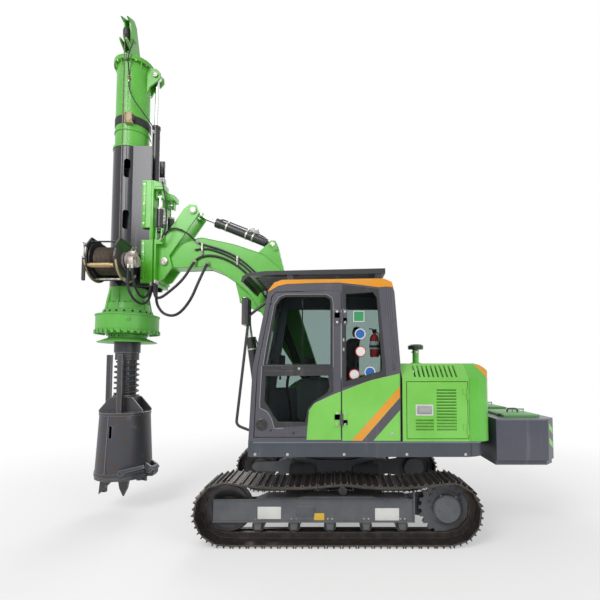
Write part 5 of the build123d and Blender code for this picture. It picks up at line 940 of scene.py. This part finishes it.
EXHAUST = (-0.944, 0.400)
fitted("exhaust_cap", turned(((0.040, 1.944), (0.086, 1.948), (0.088, 1.962), (0.088, 1.990), (0.072, 2.003),
                              (0.030, 2.007)), (*EXHAUST, 0), sides=28), "upper", "black")
fitted("exhaust_ring", turned(((0.0365, 1.905), (0.042, 1.908), (0.042, 1.926), (0.0365, 1.929)),
                              (*EXHAUST, 0)), "upper", "zinc")
fitted("exhaust_clamp", [bolt((EXHAUST[0] + 0.041, EXHAUST[1], 1.917), (1, 0, 0), 0.005, 0.010)], "upper",
       "zinc")

SKIRT_FACE = 1.0285
fitted("deck_edge", [block((-1.450, y_low, 0.990), (0.800, y_high, 1.004), 0.0015)
                     for y_low, y_high in ((SKIRT_FACE, 1.0325), (-1.0325, -SKIRT_FACE))], "upper", "edge")
fitted("skirt_seams", [block((x - 0.0015, SKIRT_FACE, 0.858), (x + 0.0015, 1.0308, 0.990), 0.0004)
                       for x in (-1.360, 0.845)], "upper", "seal")
SKIRT_BOLTS = (-1.30, -0.72, -0.10, 0.46, 0.78)
fitted("skirt_bolts", [bolt((x, 1.0295, 0.880), (0, 1, 0), 0.010, 0.007) for x in SKIRT_BOLTS],
       "upper", "zinc")

# Chevrons of the rear box's cut corner and the dressing of its lids
LID_Y = 0.455
CORNER = Matrix.Translation((-2.2435, 0.8475, 0)) @ Matrix.Rotation(radians(45), 4, "Z")
CHEVRONS = ((1.130, 1.065), (0.985, 0.920))
for number, (z_high, z_low) in enumerate(CHEVRONS, 1):
    chevron = plate(((-0.052, z_low - 0.020), (0.052, z_low + 0.045), (0.052, z_low + 0.105),
                     (-0.052, z_low + 0.040)), "y", -0.0005, 0.0015, 0)
    chevron.data.transform(CORNER)
    fitted(f"chevron_{number}", chevron, "upper", "lime_panel_lit")
fitted("box_rim", [block((-2.180, y_low, 1.196), (-1.665, y_high, 1.210), 0.0015)
                   for y_low, y_high in ((0.8985, 0.9035), (-0.9035, -0.8985))], "upper", "edge")
for side, sign in SIDES:
    y = sign * LID_Y
    fitted(f"lid_handle_{side}", tube(((-2.086 + 0.004, y, 1.236), (-2.086, y, 1.272), (-2.024, y, 1.276),
                                       (-1.962, y, 1.272), (-1.966, y, 1.236)), 0.0095, 3), f"box_lid_{side}",
           "black")
    y_low, y_high = sorted((y - sign * 0.28, y + sign * 0.24))
    fitted(f"lid_rib_{side}", [block((-2.185, y_low, 1.2335), (-1.830, y_high, 1.2375), 0.0015)],
           f"box_lid_{side}", "lime_lid")

# Track frames: side plates, covers and blank plates
FRAME_FACE = 0.970
cover = plate(((-0.785, 0.2075), (1.202, 0.2075), (1.202, 0.426), (-0.785, 0.426)), "y", FRAME_FACE - 0.001,
              FRAME_FACE + 0.007, 0.002)
SLOT_RADIUS = 0.0165
slot_outline = [(x + SLOT_RADIUS * cos(start + pi * n / 6), 0.340 + SLOT_RADIUS * sin(start + pi * n / 6))
                for x, start in ((1.120, -pi / 2), (1.046, pi / 2)) for n in range(7)]
cut(cover, plate(slot_outline, "y", FRAME_FACE + 0.003, FRAME_FACE + 0.03, 0))
flanges = [block((-0.792, FRAME_FACE - 0.004, z - 0.006), (1.206, FRAME_FACE + 0.020, z + 0.006), 0.003)
           for z in (0.2105, 0.424)]
end_plate = plate(((-0.800, 0.203), (-0.785, 0.203), (-0.785, 0.500), (-0.795, 0.520), (-0.806, 0.500)), "y",
                  FRAME_FACE - 0.030, FRAME_FACE + 0.018, 0.002)
left = fitted("frame_cover_left", [cover, end_plate] + flanges, "undercarriage", "frame")
fitted("frame_cover_right", mirrored(left), "undercarriage", "frame")
hatch = [block((0.195, FRAME_FACE + 0.006, 0.262), (0.372, FRAME_FACE + 0.012, 0.376), 0.002)]
hatch += [bolt((x, FRAME_FACE + 0.011, 0.332), (0, 1, 0), 0.010, 0.008) for x in (0.344, 0.207)]
left = fitted("frame_hatch_left", hatch, "undercarriage", "frame")
fitted("frame_hatch_right", mirrored(left), "undercarriage", "frame")
BLANKS = (
    # name, x_low, x_high, z_low, z_high, finish
    ("blank_plate_front", 0.527, 0.759, 0.237, 0.356, "white"),
    ("blank_plate_rear", -0.646, -0.407, 0.2225, 0.342, "white"),
    ("blank_plate_small", 0.097, 0.199, 0.225, 0.292, "yellow"),
)
for name, x_low, x_high, z_low, z_high, finish in BLANKS:
    left = fitted(name + "_left",
                  block((x_low, FRAME_FACE + 0.0065, z_low), (x_high, FRAME_FACE + 0.0085, z_high), 0.0006),
                  "undercarriage", finish)
    fitted(name + "_right", mirrored(left), "undercarriage", finish)

# Bolts of rollers and drive covers, and caps of the carrier rollers
ROLLER_XS = [0.040 + 0.360 * (n - 2) for n in range(5)]
ROLLER_FACE, DRIVE_RING_FACE, DRIVE_COVER_FACE = 0.9675, 0.9055, 0.9835
SPROCKET_X, SPROCKET_Z = -1.129, 0.385
COVER_BOLT_RADIUS = 0.105
for side, sign in SIDES:
    head = bolt((ROLLER_XS[0] - 0.022, sign * ROLLER_FACE, 0.238), (0, sign, 0), 0.009, 0.009)
    heads = copies(head, [(x - ROLLER_XS[0] + shift, 0, 0) for x in ROLLER_XS for shift in (0, 0.044)
                          if (x, shift) != (ROLLER_XS[0], 0)])
    fitted(f"roller_bolts_{side}", heads, "undercarriage", "zinc")
    head = bolt((SPROCKET_X + 0.160, sign * DRIVE_RING_FACE, SPROCKET_Z), (0, sign, 0), 0.010, 0.010)
    fitted(f"drive_ring_bolts_{side}", spun(head, (SPROCKET_X, 0, SPROCKET_Z), "Y", 16, 22.5),
           "undercarriage", "frame")
    heads = [bolt((SPROCKET_X + COVER_BOLT_RADIUS * cos(radians(a)), sign * DRIVE_COVER_FACE,
                   SPROCKET_Z + COVER_BOLT_RADIUS * sin(radians(a))), (0, sign, 0), 0.009, 0.008)
             for a in (50, 140, 230, 320)]
    heads.append(turned(((0.016, 0), (0.016, 0.004), (0.009, 0.007)), (SPROCKET_X, sign * 0.984, SPROCKET_Z),
                        (0, sign, 0), 16))
    fitted(f"drive_cover_bolts_{side}", heads, "undercarriage", "frame")
    cap = turned(((0.024, 0), (0.024, 0.010), (0.018, 0.014)), (-0.088, sign * 0.9298, 0.574), (0, sign, 0),
                 20)
    fitted(f"carrier_cap_{side}", cap, "undercarriage", "silver")

# Boom: weld beads, and caps of its pins
BOOM_FACE = 0.108
TIP = (2.100, 3.046)
BOOM_TOP_EDGE = ((0.160, 1.580), (0.460, 2.500), (0.652, 2.955), (0.873, 3.147), (1.230, 3.270),
                 (1.667, 3.363), (1.880, 3.290), (2.050, 3.090))
BOOM_LOW_EDGE = ((0.330, 1.500), (0.925, 2.462), (1.062, 2.672), (1.220, 2.808), (1.400, 2.930),
                 (1.572, 2.999), (1.850, 2.985), (2.040, 2.990))
for side, sign in SIDES:
    beads = [side_line(edge, sign * (BOOM_FACE + 0.0005), 0.005) for edge in (BOOM_TOP_EDGE, BOOM_LOW_EDGE)]
    fitted(f"boom_welds_{side}", beads, "boom", "lime")
    bead = ring(disc(TIP, 0.062, 28), "y",
                *sorted((sign * (BOOM_FACE - 0.001), sign * (BOOM_FACE + 0.004))), 0.010)
    fitted(f"tip_ring_{side}", bead, "boom", "lime")
PIN_CAPS = (
    # name, x, z, y of the face, radius, body
    ("lever_cap", 1.755, 3.692, 0.158, 0.030, "carrier"),
    ("tip_cap", *TIP, 0.160, 0.036, "carrier"),
    ("lift_cap", 1.118, 2.580, 0.077, 0.030, "boom"),
    ("tilt_cap", 0.772, 3.289, 0.068, 0.025, "boom"),
    ("ear_cap", 2.300, 5.506, 0.078, 0.027, "mast"),
)
for name, x, z, face, radius, body in PIN_CAPS:
    for side, sign in SIDES:
        cap = turned(((radius * 1.25, -0.001), (radius * 1.25, 0.006), (radius * 0.8, 0.009),
                      (radius * 0.75, 0.005), (radius * 0.3, 0.005)), (x, sign * face, z), (0, sign, 0), 24)
        head = bolt((x + radius * 0.5, sign * (face + 0.005), z), (0, sign, 0), 0.006, 0.006)
        fitted(f"{name}_{side}", [cap, head], body, "zinc")
keeper = plate(((0.700, 3.215), (0.748, 3.200), (0.806, 3.262), (0.800, 3.318), (0.752, 3.330),
                (0.722, 3.296)), "y", 0.0585, 0.0675, 0.002)
fitted("tilt_keeper", [keeper] + [bolt((x, 0.067, z), (0, 1, 0), 0.010, 0.008)
                                  for x, z in ((0.724, 3.230), (0.792, 3.276))], "boom", "lime")


def framed(pieces, foot, eye):
    """Moves pieces modelled along +X from a foot to a line between two (x, z) points."""
    run = Vector((eye[0] - foot[0], 0, eye[1] - foot[1])).normalized()
    turn = Matrix((run, (0, 1, 0), (-run.z, 0, run.x))).transposed().to_4x4()
    for piece in pieces:
        piece.data.transform(Matrix.Translation((foot[0], 0, foot[1])) @ turn)
    return pieces


# Cylinders: glands, pipes and clamps, modelled along the barrel
CYLINDERS = (
    # name, foot, eye, bore radius, barrel end
    ("tilt", (0.772, 3.289), (1.755, 3.692), 0.054, 0.790),
    ("lift", (0.880, 0.980), (1.118, 2.580), 0.060, 1.150),
)
for name, foot, eye, bore, end in CYLINDERS:
    gland = turned(((bore * 0.7, 0), (bore + 0.004, 0.002), (bore + 0.004, 0.030), (bore + 0.001, 0.034),
                    (bore + 0.001, 0.052), (bore * 0.7, 0.054)), (end - 0.052, 0, 0), (1, 0, 0), 32)
    weld = turned(((bore, 0), (bore + 0.004, 0.004), (bore, 0.008)), (0.110, 0, 0), (1, 0, 0), 32)
    fitted(f"{name}_gland", framed([gland, weld], foot, eye), f"{name}_barrel", "black")
    pipes = [tube(((0.30, 0.012, bore + 0.020), (0.40, 0.012, bore + 0.014),
                   (end - 0.12, 0.012, bore + 0.014), (end - 0.05, 0.012, bore + 0.012),
                   (end - 0.036, 0.008, bore - 0.004)), 0.0085),
             tube(((0.24, -0.014, bore + 0.016), (0.16, -0.014, bore + 0.016), (0.125, -0.010, bore - 0.004)),
                  0.0085)]
    fitted(f"{name}_pipes", framed(pipes, foot, eye), f"{name}_barrel", "black")
    clamps = [ring(disc((0, 0), bore + 0.005, 32), "x", at, at + 0.018, 0.006)
              for at in (0.27, 0.36, end - 0.16)]
    clamps += [block((at - 0.002, -0.010, bore), (at + 0.020, 0.026, bore + 0.026), 0.003)
               for at in (0.36, end - 0.16)]
    fitted(f"{name}_clamps", framed(clamps, foot, eye), f"{name}_barrel", "zinc")
    valve = [block((0.235, -0.030, bore + 0.002), (0.345, 0.030, bore + 0.046), 0.005),
             turned(((0.014, 0), (0.014, 0.012), (0.009, 0.014), (0.009, 0.024)),
                    (0.262, 0.004, bore + 0.045), sides=12),
             turned(((0.011, 0), (0.011, 0.010), (0.007, 0.020)), (0.318, 0.004, bore + 0.045), sides=12),
             *[bolt((at, 0.029, bore + 0.022), (0, 1, 0), 0.006, 0.005) for at in (0.255, 0.325)]]
    fitted(f"{name}_valve", framed(valve, foot, eye), f"{name}_barrel", "silver")
ROLL_X, ROLL_Y = 2.152, 0.165
ROLL_GLAND = ((0.030, 3.690), (0.045, 3.692), (0.045, 3.712), (0.030, 3.718))
ROLL_WELD = ((0.043, 3.448), (0.046, 3.452), (0.043, 3.456))
for side, sign in SIDES:
    y = sign * ROLL_Y
    fitted(f"roll_gland_{side}",
           [turned(profile, (ROLL_X, y, 0), sides=28) for profile in (ROLL_GLAND, ROLL_WELD)],
           f"roll_barrel_{side}", "zinc")
    ports = [turned(((0.010, 0), (0.010, 0.014), (0.007, 0.018)), (2.092, y + sign * 0.019, z),
                    (0, sign, 0), 12) for z in (3.535, 3.585)]
    fitted(f"roll_valve_{side}", [block((2.072, y - 0.020, 3.505), (2.112, y + 0.020, 3.615), 0.004)] + ports,
           f"roll_barrel_{side}", "silver")

# Carriage: guide strips, bolts and the valve on its beam
for side, sign in SIDES:
    strips, heads = [], []
    for z_low, z_high in ((3.455, 4.020), (2.772, 3.280)):
        y_low, y_high = sorted((sign * 0.239, sign * 0.247))
        strips.append(block((2.300, y_low, z_low), (2.341, y_high, z_high), 0.002))
        step = (z_high - z_low - 0.08) / 4
        heads += [bolt((2.320, sign * 0.2465, z_low + 0.04 + step * n), (0, sign, 0), 0.009, 0.008)
                  for n in range(5)]
    fitted(f"guide_strip_{side}", strips, "carriage", "lime")
    fitted(f"guide_bolts_{side}", heads, "carriage", "zinc")
    y_low, y_high = sorted((sign * 0.238, sign * 0.246))
    fitted(f"carriage_frame_{side}", [
        plate(((2.205, 4.018), (2.098, 3.980), (2.098, 3.952), (2.180, 3.958), (2.205, 3.900)), "y", y_low,
              y_high, 0.002),
        block((2.206, y_low, 3.300), (2.236, y_high, 4.020), 0.003)], "carriage", "lime")
ports = [turned(((0.013, 0), (0.013, 0.014), (0.008, 0.020)), (2.125, 0.204, z), (0, 1, 0), 12)
         for z in (4.030, 4.062)]
fitted("beam_valve", [block((2.095, 0.130, 3.996), (2.160, 0.205, 4.085), 0.005)] + ports, "carriage",
       "silver")

# Mast: flange bolts, strap, collars and gland
MAST_X = 2.600
MAST_AXIS = (MAST_X, 0, 0)
head = bolt((MAST_X + 0.226, 0, 5.650), (0, 0, 1), 0.012, 0.012)
nut = bolt((MAST_X + 0.226, 0, 5.600), (0, 0, -1), 0.012, 0.012)
fitted("flange_bolts", spun(head, MAST_AXIS, "Z", 12, 30) + spun(nut, MAST_AXIS, "Z", 12, 30), "mast", "zinc")
fitted("mast_strap", [ring(disc((MAST_X, 0), 0.2125, 48), "z", 4.785, 4.885, 0.006),
                      block((2.478, 0.196, 4.800), (2.500, 0.238, 4.870), 0.003)], "mast", "seal")
fitted("strap_block", [block((2.500, 0.196, 4.768), (2.596, 0.246, 4.902), 0.005),
                       block((2.508, 0.244, 4.780), (2.588, 0.250, 4.890), 0.002),
                       bolt((2.520, 0.249, 4.792), (0, 1, 0), 0.006, 0.004),
                       bolt((2.576, 0.249, 4.878), (0, 1, 0), 0.006, 0.004)],
       "mast", "tan")
fitted("mast_collar", [ring(disc((MAST_X, 0), 0.2145, 48), "z", 4.700, 4.722, 0.008),
                       ring(disc((MAST_X, 0), 0.2260, 48), "z", 4.486, 4.516, 0.0065)], "mast", "lime_mast_shaded")
fitted("crowd_gland", turned(((0.034, 4.815), (0.053, 4.818), (0.053, 4.850), (0.046, 4.858), (0.030, 4.860)),
                             (2.3, 0, 0), sides=28), "carriage", "black")

# Winch: wound rope, arms, rods, bolts and motor ports
WINCH = Vector((2.561, 0.480, 2.960))
ROPE_TURNS, ROPE_PITCH = 18, 0.0143
coil = [(0.1435, -0.1302)]
for number in range(ROPE_TURNS):
    at = -0.1290 + number * ROPE_PITCH
    coil += [(0.1465, at + 0.0006), (0.1545, at + 0.0030), (0.1575, at + 0.0072), (0.1545, at + 0.0114)]
winding = turned(coil + [(0.1435, 0.1302)], WINCH, (1, 0, 0), 56)
fitted("rope_winding", winding, "winch_drum", "rope_lay")
fitted("drum_bolts", [bolt(WINCH + Vector((-0.1435, 0.175 * cos(a), 0.175 * sin(a))), (-1, 0, 0), 0.006,
                           0.004)
                      for a in (2 * pi * n / 12 for n in range(12))], "winch_drum", "zinc")


def round_winch(radius, azimuth):
    """(y, z) place at a radius and an angle in degrees round the winch's axis."""
    return WINCH.y + radius * cos(radians(azimuth)), WINCH.z + radius * sin(radians(azimuth))


fitted("winch_arms", [tube([(x, *round_winch(0.238, a)) for a in range(-10, -151, -14)], 0.012, 3)
                      for x in (2.733, 2.389)], "mast", "bronze")
FRONT_BAR = round_winch(0.226, -25)
LOW_BAR = round_winch(0.226, -75)
fitted("winch_bar", [turned(((0.014, 0), (0.021, 0.004), (0.021, 0.030), (0.027, 0.034), (0.027, 0.250),
                             (0.021, 0.254), (0.021, 0.282), (0.014, 0.286)), (2.418, *FRONT_BAR), (1, 0, 0),
                            24)], "mast", "bronze")
fitted("winch_rod", [turned(((0.0115, 0), (0.0125, 0.004), (0.0125, 0.280), (0.0115, 0.284)),
                            (2.419, *LOW_BAR), (1, 0, 0), 18),
                     bolt((2.387, *LOW_BAR), (-1, 0, 0), 0.016, 0.016),
                     bolt((2.735, *LOW_BAR), (1, 0, 0), 0.016, 0.016)],
       "mast", "zinc")
DAMPER = (2.748, 0.694, 0)
fitted("winch_damper", [turned(((0.010, 2.690), (0.019, 2.696), (0.019, 2.935), (0.010, 2.942)), DAMPER,
                               sides=20),
                        block((2.724, 0.668, 2.838), (2.752, 0.706, 2.872), 0.004)], "mast", "black")
fitted("winch_handle", [turned(((0.020, 2.940), (0.021, 2.944), (0.021, 2.962), (0.008, 2.966),
                                (0.0075, 3.095), (0.010, 3.098), (0.010, 3.112)), DAMPER, sides=16),
                        tube([(2.748, y, 3.104) for y in (0.660, 0.694, 0.728)], 0.006)], "mast", "zinc")
fitted("winch_top", [plate(((0.330, 3.150), (0.600, 3.172), (0.700, 3.060), (0.716, 3.075), (0.612, 3.198),
                            (0.330, 3.176)),
                           "x", x, x + 0.020, 0.002) for x in (2.392, 2.710)], "mast", "black")
head = bolt((2.353, WINCH.y + 0.089, WINCH.z), (-1, 0, 0), 0.009, 0.008)
fitted("gearbox_bolts", spun(head, WINCH, "X", 10, 36), "mast", "zinc")
fitted("gearbox_ring", turned(((0.106, 0), (0.109, 0.003), (0.109, 0.012), (0.106, 0.015)),
                              (2.360, WINCH.y, WINCH.z), (1, 0, 0), 40), "mast", "black")
fitted("motor_ports", [block((2.275, 0.435, 3.020), (2.350, 0.525, 3.070), 0.006),
                       block((2.270, 0.535, 2.900), (2.345, 0.572, 2.990), 0.006),
                       *[turned(((0.016, 0), (0.016, 0.010), (0.011, 0.012), (0.011, 0.030)),
                                (2.294 + shift, 0.482, 3.069), sides=12) for shift in (0, 0.036)]], "mast",
       "casting")
MOTOR_ELBOWS = ((2.294, 0.482, 3.096), (2.330, 0.482, 3.096))
fitted("motor_elbows", [tube(((x, y, z), (x, y, z + 0.020), (x - 0.020, y + 0.022, z + 0.020),
                              (x - 0.034, y + 0.036, z + 0.004)), 0.0105, 3) for x, y, z in MOTOR_ELBOWS],
       "mast", "zinc")

# Rotary drive: sockets, bolts and plug, modelled once and copied round the mast's axis
socket = turned(((0.013, 0), (0.013, 0.005), (0.009, 0.005), (0.009, 0.001)), (MAST_X + 0.281, 0, 2.425),
                (1, 0, 0), 12)
fitted("drive_sockets", spun(socket, MAST_AXIS, "Z", 20, 18), "mast", "seal")
head = bolt((MAST_X + 0.322, 0, 2.3905), (0, 0, 1), 0.010, 0.010)
fitted("drive_studs", spun(head, MAST_AXIS, "Z", 24, 15), "mast", "lime_drive")
head = bolt((MAST_X + 0.238, 0, 2.537), (0, 0, 1), 0.009, 0.009)
fitted("drive_top_bolts", spun(head, MAST_AXIS, "Z", 20, 18), "mast", "lime_drive")
plug = turned(((0.026, 0), (0.026, 0.006), (0.018, 0.010), (0.014, 0.010), (0.012, 0.003)), (0, 0, 0),
              (1, 0, 0), 20)
plug.data.transform(Matrix.Translation((MAST_X, 0, 2.315)) @ Matrix.Rotation(radians(117), 4, "Z")
                    @ Matrix.Translation((0.359, 0, 0)))
fitted("drive_plug", plug, "mast", "lime_drive")
fitted("drive_seams", [ring(disc((MAST_X, 0), 0.3625, 64), "z", z - 0.002, z + 0.002, 0.004)
                       for z in (2.205, 2.372)],
       "mast", "lime_drive")

# Kelly keys and the bucket's bands, welds and latch
key = block((MAST_X + 0.100, -0.016, 1.402), (MAST_X + 0.118, 0.016, 1.836), 0.003)
fitted("kelly_keys", spun(key, MAST_AXIS, "Z", 6, 60), "kelly", "tool")
BUCKET_BANDS = (
    # (radius, height) stations of a band
    ((0.2835, 1.160), (0.291, 1.163), (0.291, 1.194), (0.2825, 1.198)),
    ((0.3215, 0.445), (0.3285, 0.448), (0.3265, 0.498), (0.3190, 0.502)),
)
fitted("bucket_rim", [turned(profile, MAST_AXIS, sides=56) for profile in BUCKET_BANDS], "kelly", "tool")
SEAM_LINE = ((0.2865, 1.155), (0.3040, 0.800), (0.3215, 0.505))
fitted("bucket_seams", [tube([(MAST_X + r * cos(a), r * sin(a), z) for r, z in SEAM_LINE], 0.006, 2)
                        for a in (radians(78), radians(258))], "kelly", "tool")
bar = plate(((2.500, 0.470), (2.515, 0.510), (2.492, 0.548), (2.440, 0.556), (2.215, 0.606), (2.205, 0.572),
             (2.420, 0.516), (2.450, 0.476)), "y", 0.300, 0.334, 0.003)
cut(bar, plate(disc((2.480, 0.510), 0.015, 16), "y", 0.316, 0.36, 0))
fitted("bucket_latch", bar, "kelly", "tool")
TOOTH_TIPS = ((2.842, 0.196), (2.408, 0.338))
for number, (x, z) in enumerate(TOOTH_TIPS, 1):
    fitted(f"tooth_holder_{number}",
           [block((x - 0.030, -0.024, z + 0.010), (x + 0.030, 0.024, z + 0.090), 0.006)],
           "bucket_gate", "tool")

# Hoses: those clipped to one body, and those that hang across a joint
def route(points):
    """Points that a smooth line through control points follows, and its length."""
    bare = smooth_line(points, 3, 12)
    bpy.context.view_layer.update()
    line = bpy.data.meshes.new_from_object(bare)
    places = [vertex.co.copy() for vertex in line.vertices]
    bpy.data.objects.remove(bare)
    return places, sum((b - a).length for a, b in zip(places, places[1:]))


def ferrules(places, radius):
    """Crimped fittings at both ends of a hose."""
    profile = ((radius * 0.9, 0), (radius * 1.5, 0.002), (radius * 1.5, 0.014), (radius * 1.25, 0.016),
               (radius * 1.25, 0.040), (radius * 1.05, 0.042))
    return [turned(profile, end - (near - end).normalized() * 0.004, near - end, 14)
            for end, near in ((places[0], places[2]), (places[-1], places[-3]))]


HOSES = (
    # name, body at the start, body at the end, radius, control points
    ("drive_hose_1", "boom", "carrier", 0.0165,
     ((1.727, 0.124, 3.060), (1.735, 0.200, 2.990), (1.820, 0.250, 2.800), (1.990, 0.262, 2.640),
      (2.110, 0.255, 2.560), (2.183, 0.235, 2.620), (2.184, 0.205, 2.796))),
    ("drive_hose_2", "boom", "carrier", 0.0165,
     ((1.565, 0.126, 3.040), (1.570, 0.195, 2.970), (1.630, 0.258, 2.780), (1.715, 0.280, 2.540),
      (1.870, 0.285, 2.350), (2.040, 0.265, 2.370), (2.150, 0.215, 2.500), (2.184, 0.160, 2.640),
      (2.184, 0.150, 2.796))),
    ("crowd_hose_1", "carriage", "mast", 0.0145,
     ((2.225, 0.222, 2.766), (2.222, 0.235, 2.690), (2.235, 0.290, 2.580), (2.262, 0.380, 2.560),
      (2.270, 0.500, 2.640), (2.280, 0.560, 2.760), (2.290, 0.556, 2.898))),
    ("crowd_hose_2", "carriage", "mast", 0.0145,
     ((2.225, 0.170, 2.766), (2.222, 0.190, 2.680), (2.225, 0.280, 2.520), (2.250, 0.400, 2.470),
      (2.300, 0.520, 2.530), (2.328, 0.590, 2.680), (2.328, 0.556, 2.898))),
    ("roll_hose_1", "carriage", "carrier", 0.009,
     ((2.110, 0.206, 4.030), (2.104, 0.262, 4.020), (2.060, 0.290, 3.900), (2.030, 0.285, 3.700),
      (2.030, 0.270, 3.500), (2.060, 0.250, 3.360), (2.120, 0.232, 3.290))),
    ("tilt_hose_1", "carrier", "boom", 0.0105,
     ((2.120, 0.150, 3.340), (2.080, 0.158, 3.420), (1.980, 0.172, 3.470), (1.840, 0.178, 3.420),
      (1.740, 0.160, 3.330), (1.690, 0.124, 3.290))),
    ("mast_cable", "mast", "carriage", 0.0065,
     ((2.560, 0.222, 5.330), (2.556, 0.236, 5.240), (2.500, 0.250, 5.080), (2.400, 0.200, 4.940),
      (2.340, 0.120, 4.860), (2.312, 0.060, 4.800), (2.306, 0.050, 4.740))),
)
for name, start_body, end_body, radius, points in HOSES:
    places, measured = route(points)
    hose = tube(points, radius, 4)
    hose.name = hose.data.name = name
    hose.data.materials.clear()
    hose.data.materials.append(FINISH["rubber"])
    bpy.ops.object.shade_smooth()
    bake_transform(hose)
    ends = ferrules(places, radius)
    pieces = [fitted(f"{name}_fitting_{number}", end, body, "zinc")
              for number, end, body in zip((1, 2), ends, (start_body, end_body))]

CLIPPED = (
    # name, body, radius, control points
    ("boom_pipe_1", "boom", 0.0120,
     ((1.690, 0.122, 3.290), (1.600, 0.122, 3.262), (1.400, 0.121, 3.205), (1.180, 0.120, 3.100),
      (0.980, 0.120, 2.930), (0.800, 0.120, 2.700), (0.600, 0.120, 2.300), (0.420, 0.120, 1.800))),
    ("boom_pipe_2", "boom", 0.0120,
     ((1.730, 0.122, 3.200), (1.620, 0.122, 3.232), (1.420, 0.121, 3.176), (1.205, 0.120, 3.072),
      (1.008, 0.120, 2.905), (0.828, 0.120, 2.680), (0.628, 0.120, 2.290), (0.450, 0.120, 1.800))),
    ("boom_pipe_3", "boom", 0.0145,
     ((1.727, 0.124, 3.062), (1.660, 0.122, 3.130), (1.450, 0.121, 3.130), (1.235, 0.120, 3.035),
      (1.040, 0.120, 2.870), (0.862, 0.120, 2.650), (0.662, 0.120, 2.270), (0.480, 0.120, 1.800))),
    ("head_hose", "mast", 0.0075,
     ((2.520, 0.150, 5.860), (2.512, 0.215, 5.840), (2.512, 0.262, 5.740), (2.540, 0.268, 5.640),
      (2.556, 0.262, 5.560), (2.562, 0.226, 5.460), (2.562, 0.218, 5.380))),
)
for name, body, radius, points in CLIPPED:
    fitted(name, tube(points, radius, 4), body, "rubber", 60)
CLAMPS = (  # x, z, width
    (1.640, 3.213, 0.150), (1.200, 3.068, 0.110), (0.845, 2.690, 0.110),
)
for number, (x, z, width) in enumerate(CLAMPS, 1):
    fitted(f"pipe_clamp_{number}",
           [block((x - 0.012, 0.107, z - width / 2), (x + 0.012, 0.134, z + width / 2), 0.004),
            bolt((x, 0.133, z), (0, 1, 0), 0.008, 0.007)], "boom", "zinc")
fitted("head_fitting", [turned(((0.012, 0), (0.016, 0.004), (0.016, 0.040), (0.010, 0.046)),
                               (2.562, 0.219, 5.335), sides=14),
                        block((2.546, 0.200, 5.345), (2.578, 0.214, 5.372), 0.003)], "mast", "bronze")


# Camera, lights and floor
def light_panel(name, place, aim, size, power):
    """Soft rectangular lamp at a place, turned to a point."""
    lamp = bpy.data.lights.new(name, "AREA")
    lamp.shape = "SQUARE"
    lamp.size = size
    lamp.energy = power
    made = bpy.data.objects.new(name, lamp)
    made.location = place
    made.rotation_euler = (Vector(aim) - Vector(place)).to_track_quat("-Z", "Y").to_euler()
    bpy.context.scene.collection.objects.link(made)


def seen_rays(tree):
    """1 for rays from the camera and for what metal and glass show."""
    path = tree.nodes.new("ShaderNodeLightPath")
    through = maths(tree, "MAXIMUM", path.outputs["Is Glossy Ray"], path.outputs["Is Transmission Ray"])
    return maths(tree, "MAXIMUM", path.outputs["Is Camera Ray"], through)


def set_stage():
    """Camera, lamps, white surroundings and a pale floor."""
    camera = bpy.data.cameras.new("camera")
    camera.lens = CAMERA_LENS
    camera.sensor_width = SENSOR_WIDTH
    camera.shift_x, camera.shift_y = CAMERA_SHIFT
    camera.clip_end = 200
    seen = bpy.data.objects.new("camera", camera)
    seen.location = CAMERA_PLACE
    seen.rotation_euler = (radians(CAMERA_TILT), 0, radians(180))
    bpy.context.scene.collection.objects.link(seen)
    bpy.context.scene.camera = seen
    for lamp in LAMPS:
        light_panel(*lamp)
    world = bpy.data.worlds.new("studio")
    world.use_nodes = True
    tree = world.node_tree
    background = tree.nodes["Background"]
    strength = maths(tree, "ADD", AMBIENT, maths(tree, "MULTIPLY", seen_rays(tree), 1 - AMBIENT))
    background.inputs["Color"].default_value = (1, 1, 1, 1)
    tree.links.new(strength, background.inputs["Strength"])
    bpy.context.scene.world = world
    clear_selection()
    bpy.ops.mesh.primitive_plane_add(size=FLOOR_SIZE, location=(0, 0, -0.001))
    floor = bpy.context.object
    floor.name = "floor"
    material, tree, shader = new_material("pale_floor")
    shader.inputs["Base Color"].default_value = (0.92, 0.92, 0.92, 1)
    shader.inputs["Roughness"].default_value = 0.9
    place = tree.nodes.new("ShaderNodeTexCoord")
    reach = tree.nodes.new("ShaderNodeVectorMath")
    reach.operation = "LENGTH"
    tree.links.new(place.outputs["Object"], reach.inputs[0])
    far = ramp_mask(tree, reach.outputs["Value"], 2.2, 7.5)
    share = maths(tree, "MULTIPLY", seen_rays(tree),
                  maths(tree, "ADD", 0.40, maths(tree, "MULTIPLY", far, 0.60)))
    glow = tree.nodes.new("ShaderNodeEmission")
    glow.inputs["Color"].default_value = (1, 1, 1, 1)
    blended = tree.nodes.new("ShaderNodeMixShader")
    tree.links.new(share, blended.inputs["Fac"])
    tree.links.new(shader.outputs["BSDF"], blended.inputs[1])
    tree.links.new(glow.outputs["Emission"], blended.inputs[2])
    tree.links.new(blended.outputs["Shader"], tree.nodes["Material Output"].inputs["Surface"])
    floor.data.materials.append(material)
    bpy.context.scene.view_settings.view_transform = "Standard"


set_stage()

bpy.context.view_layer.update()
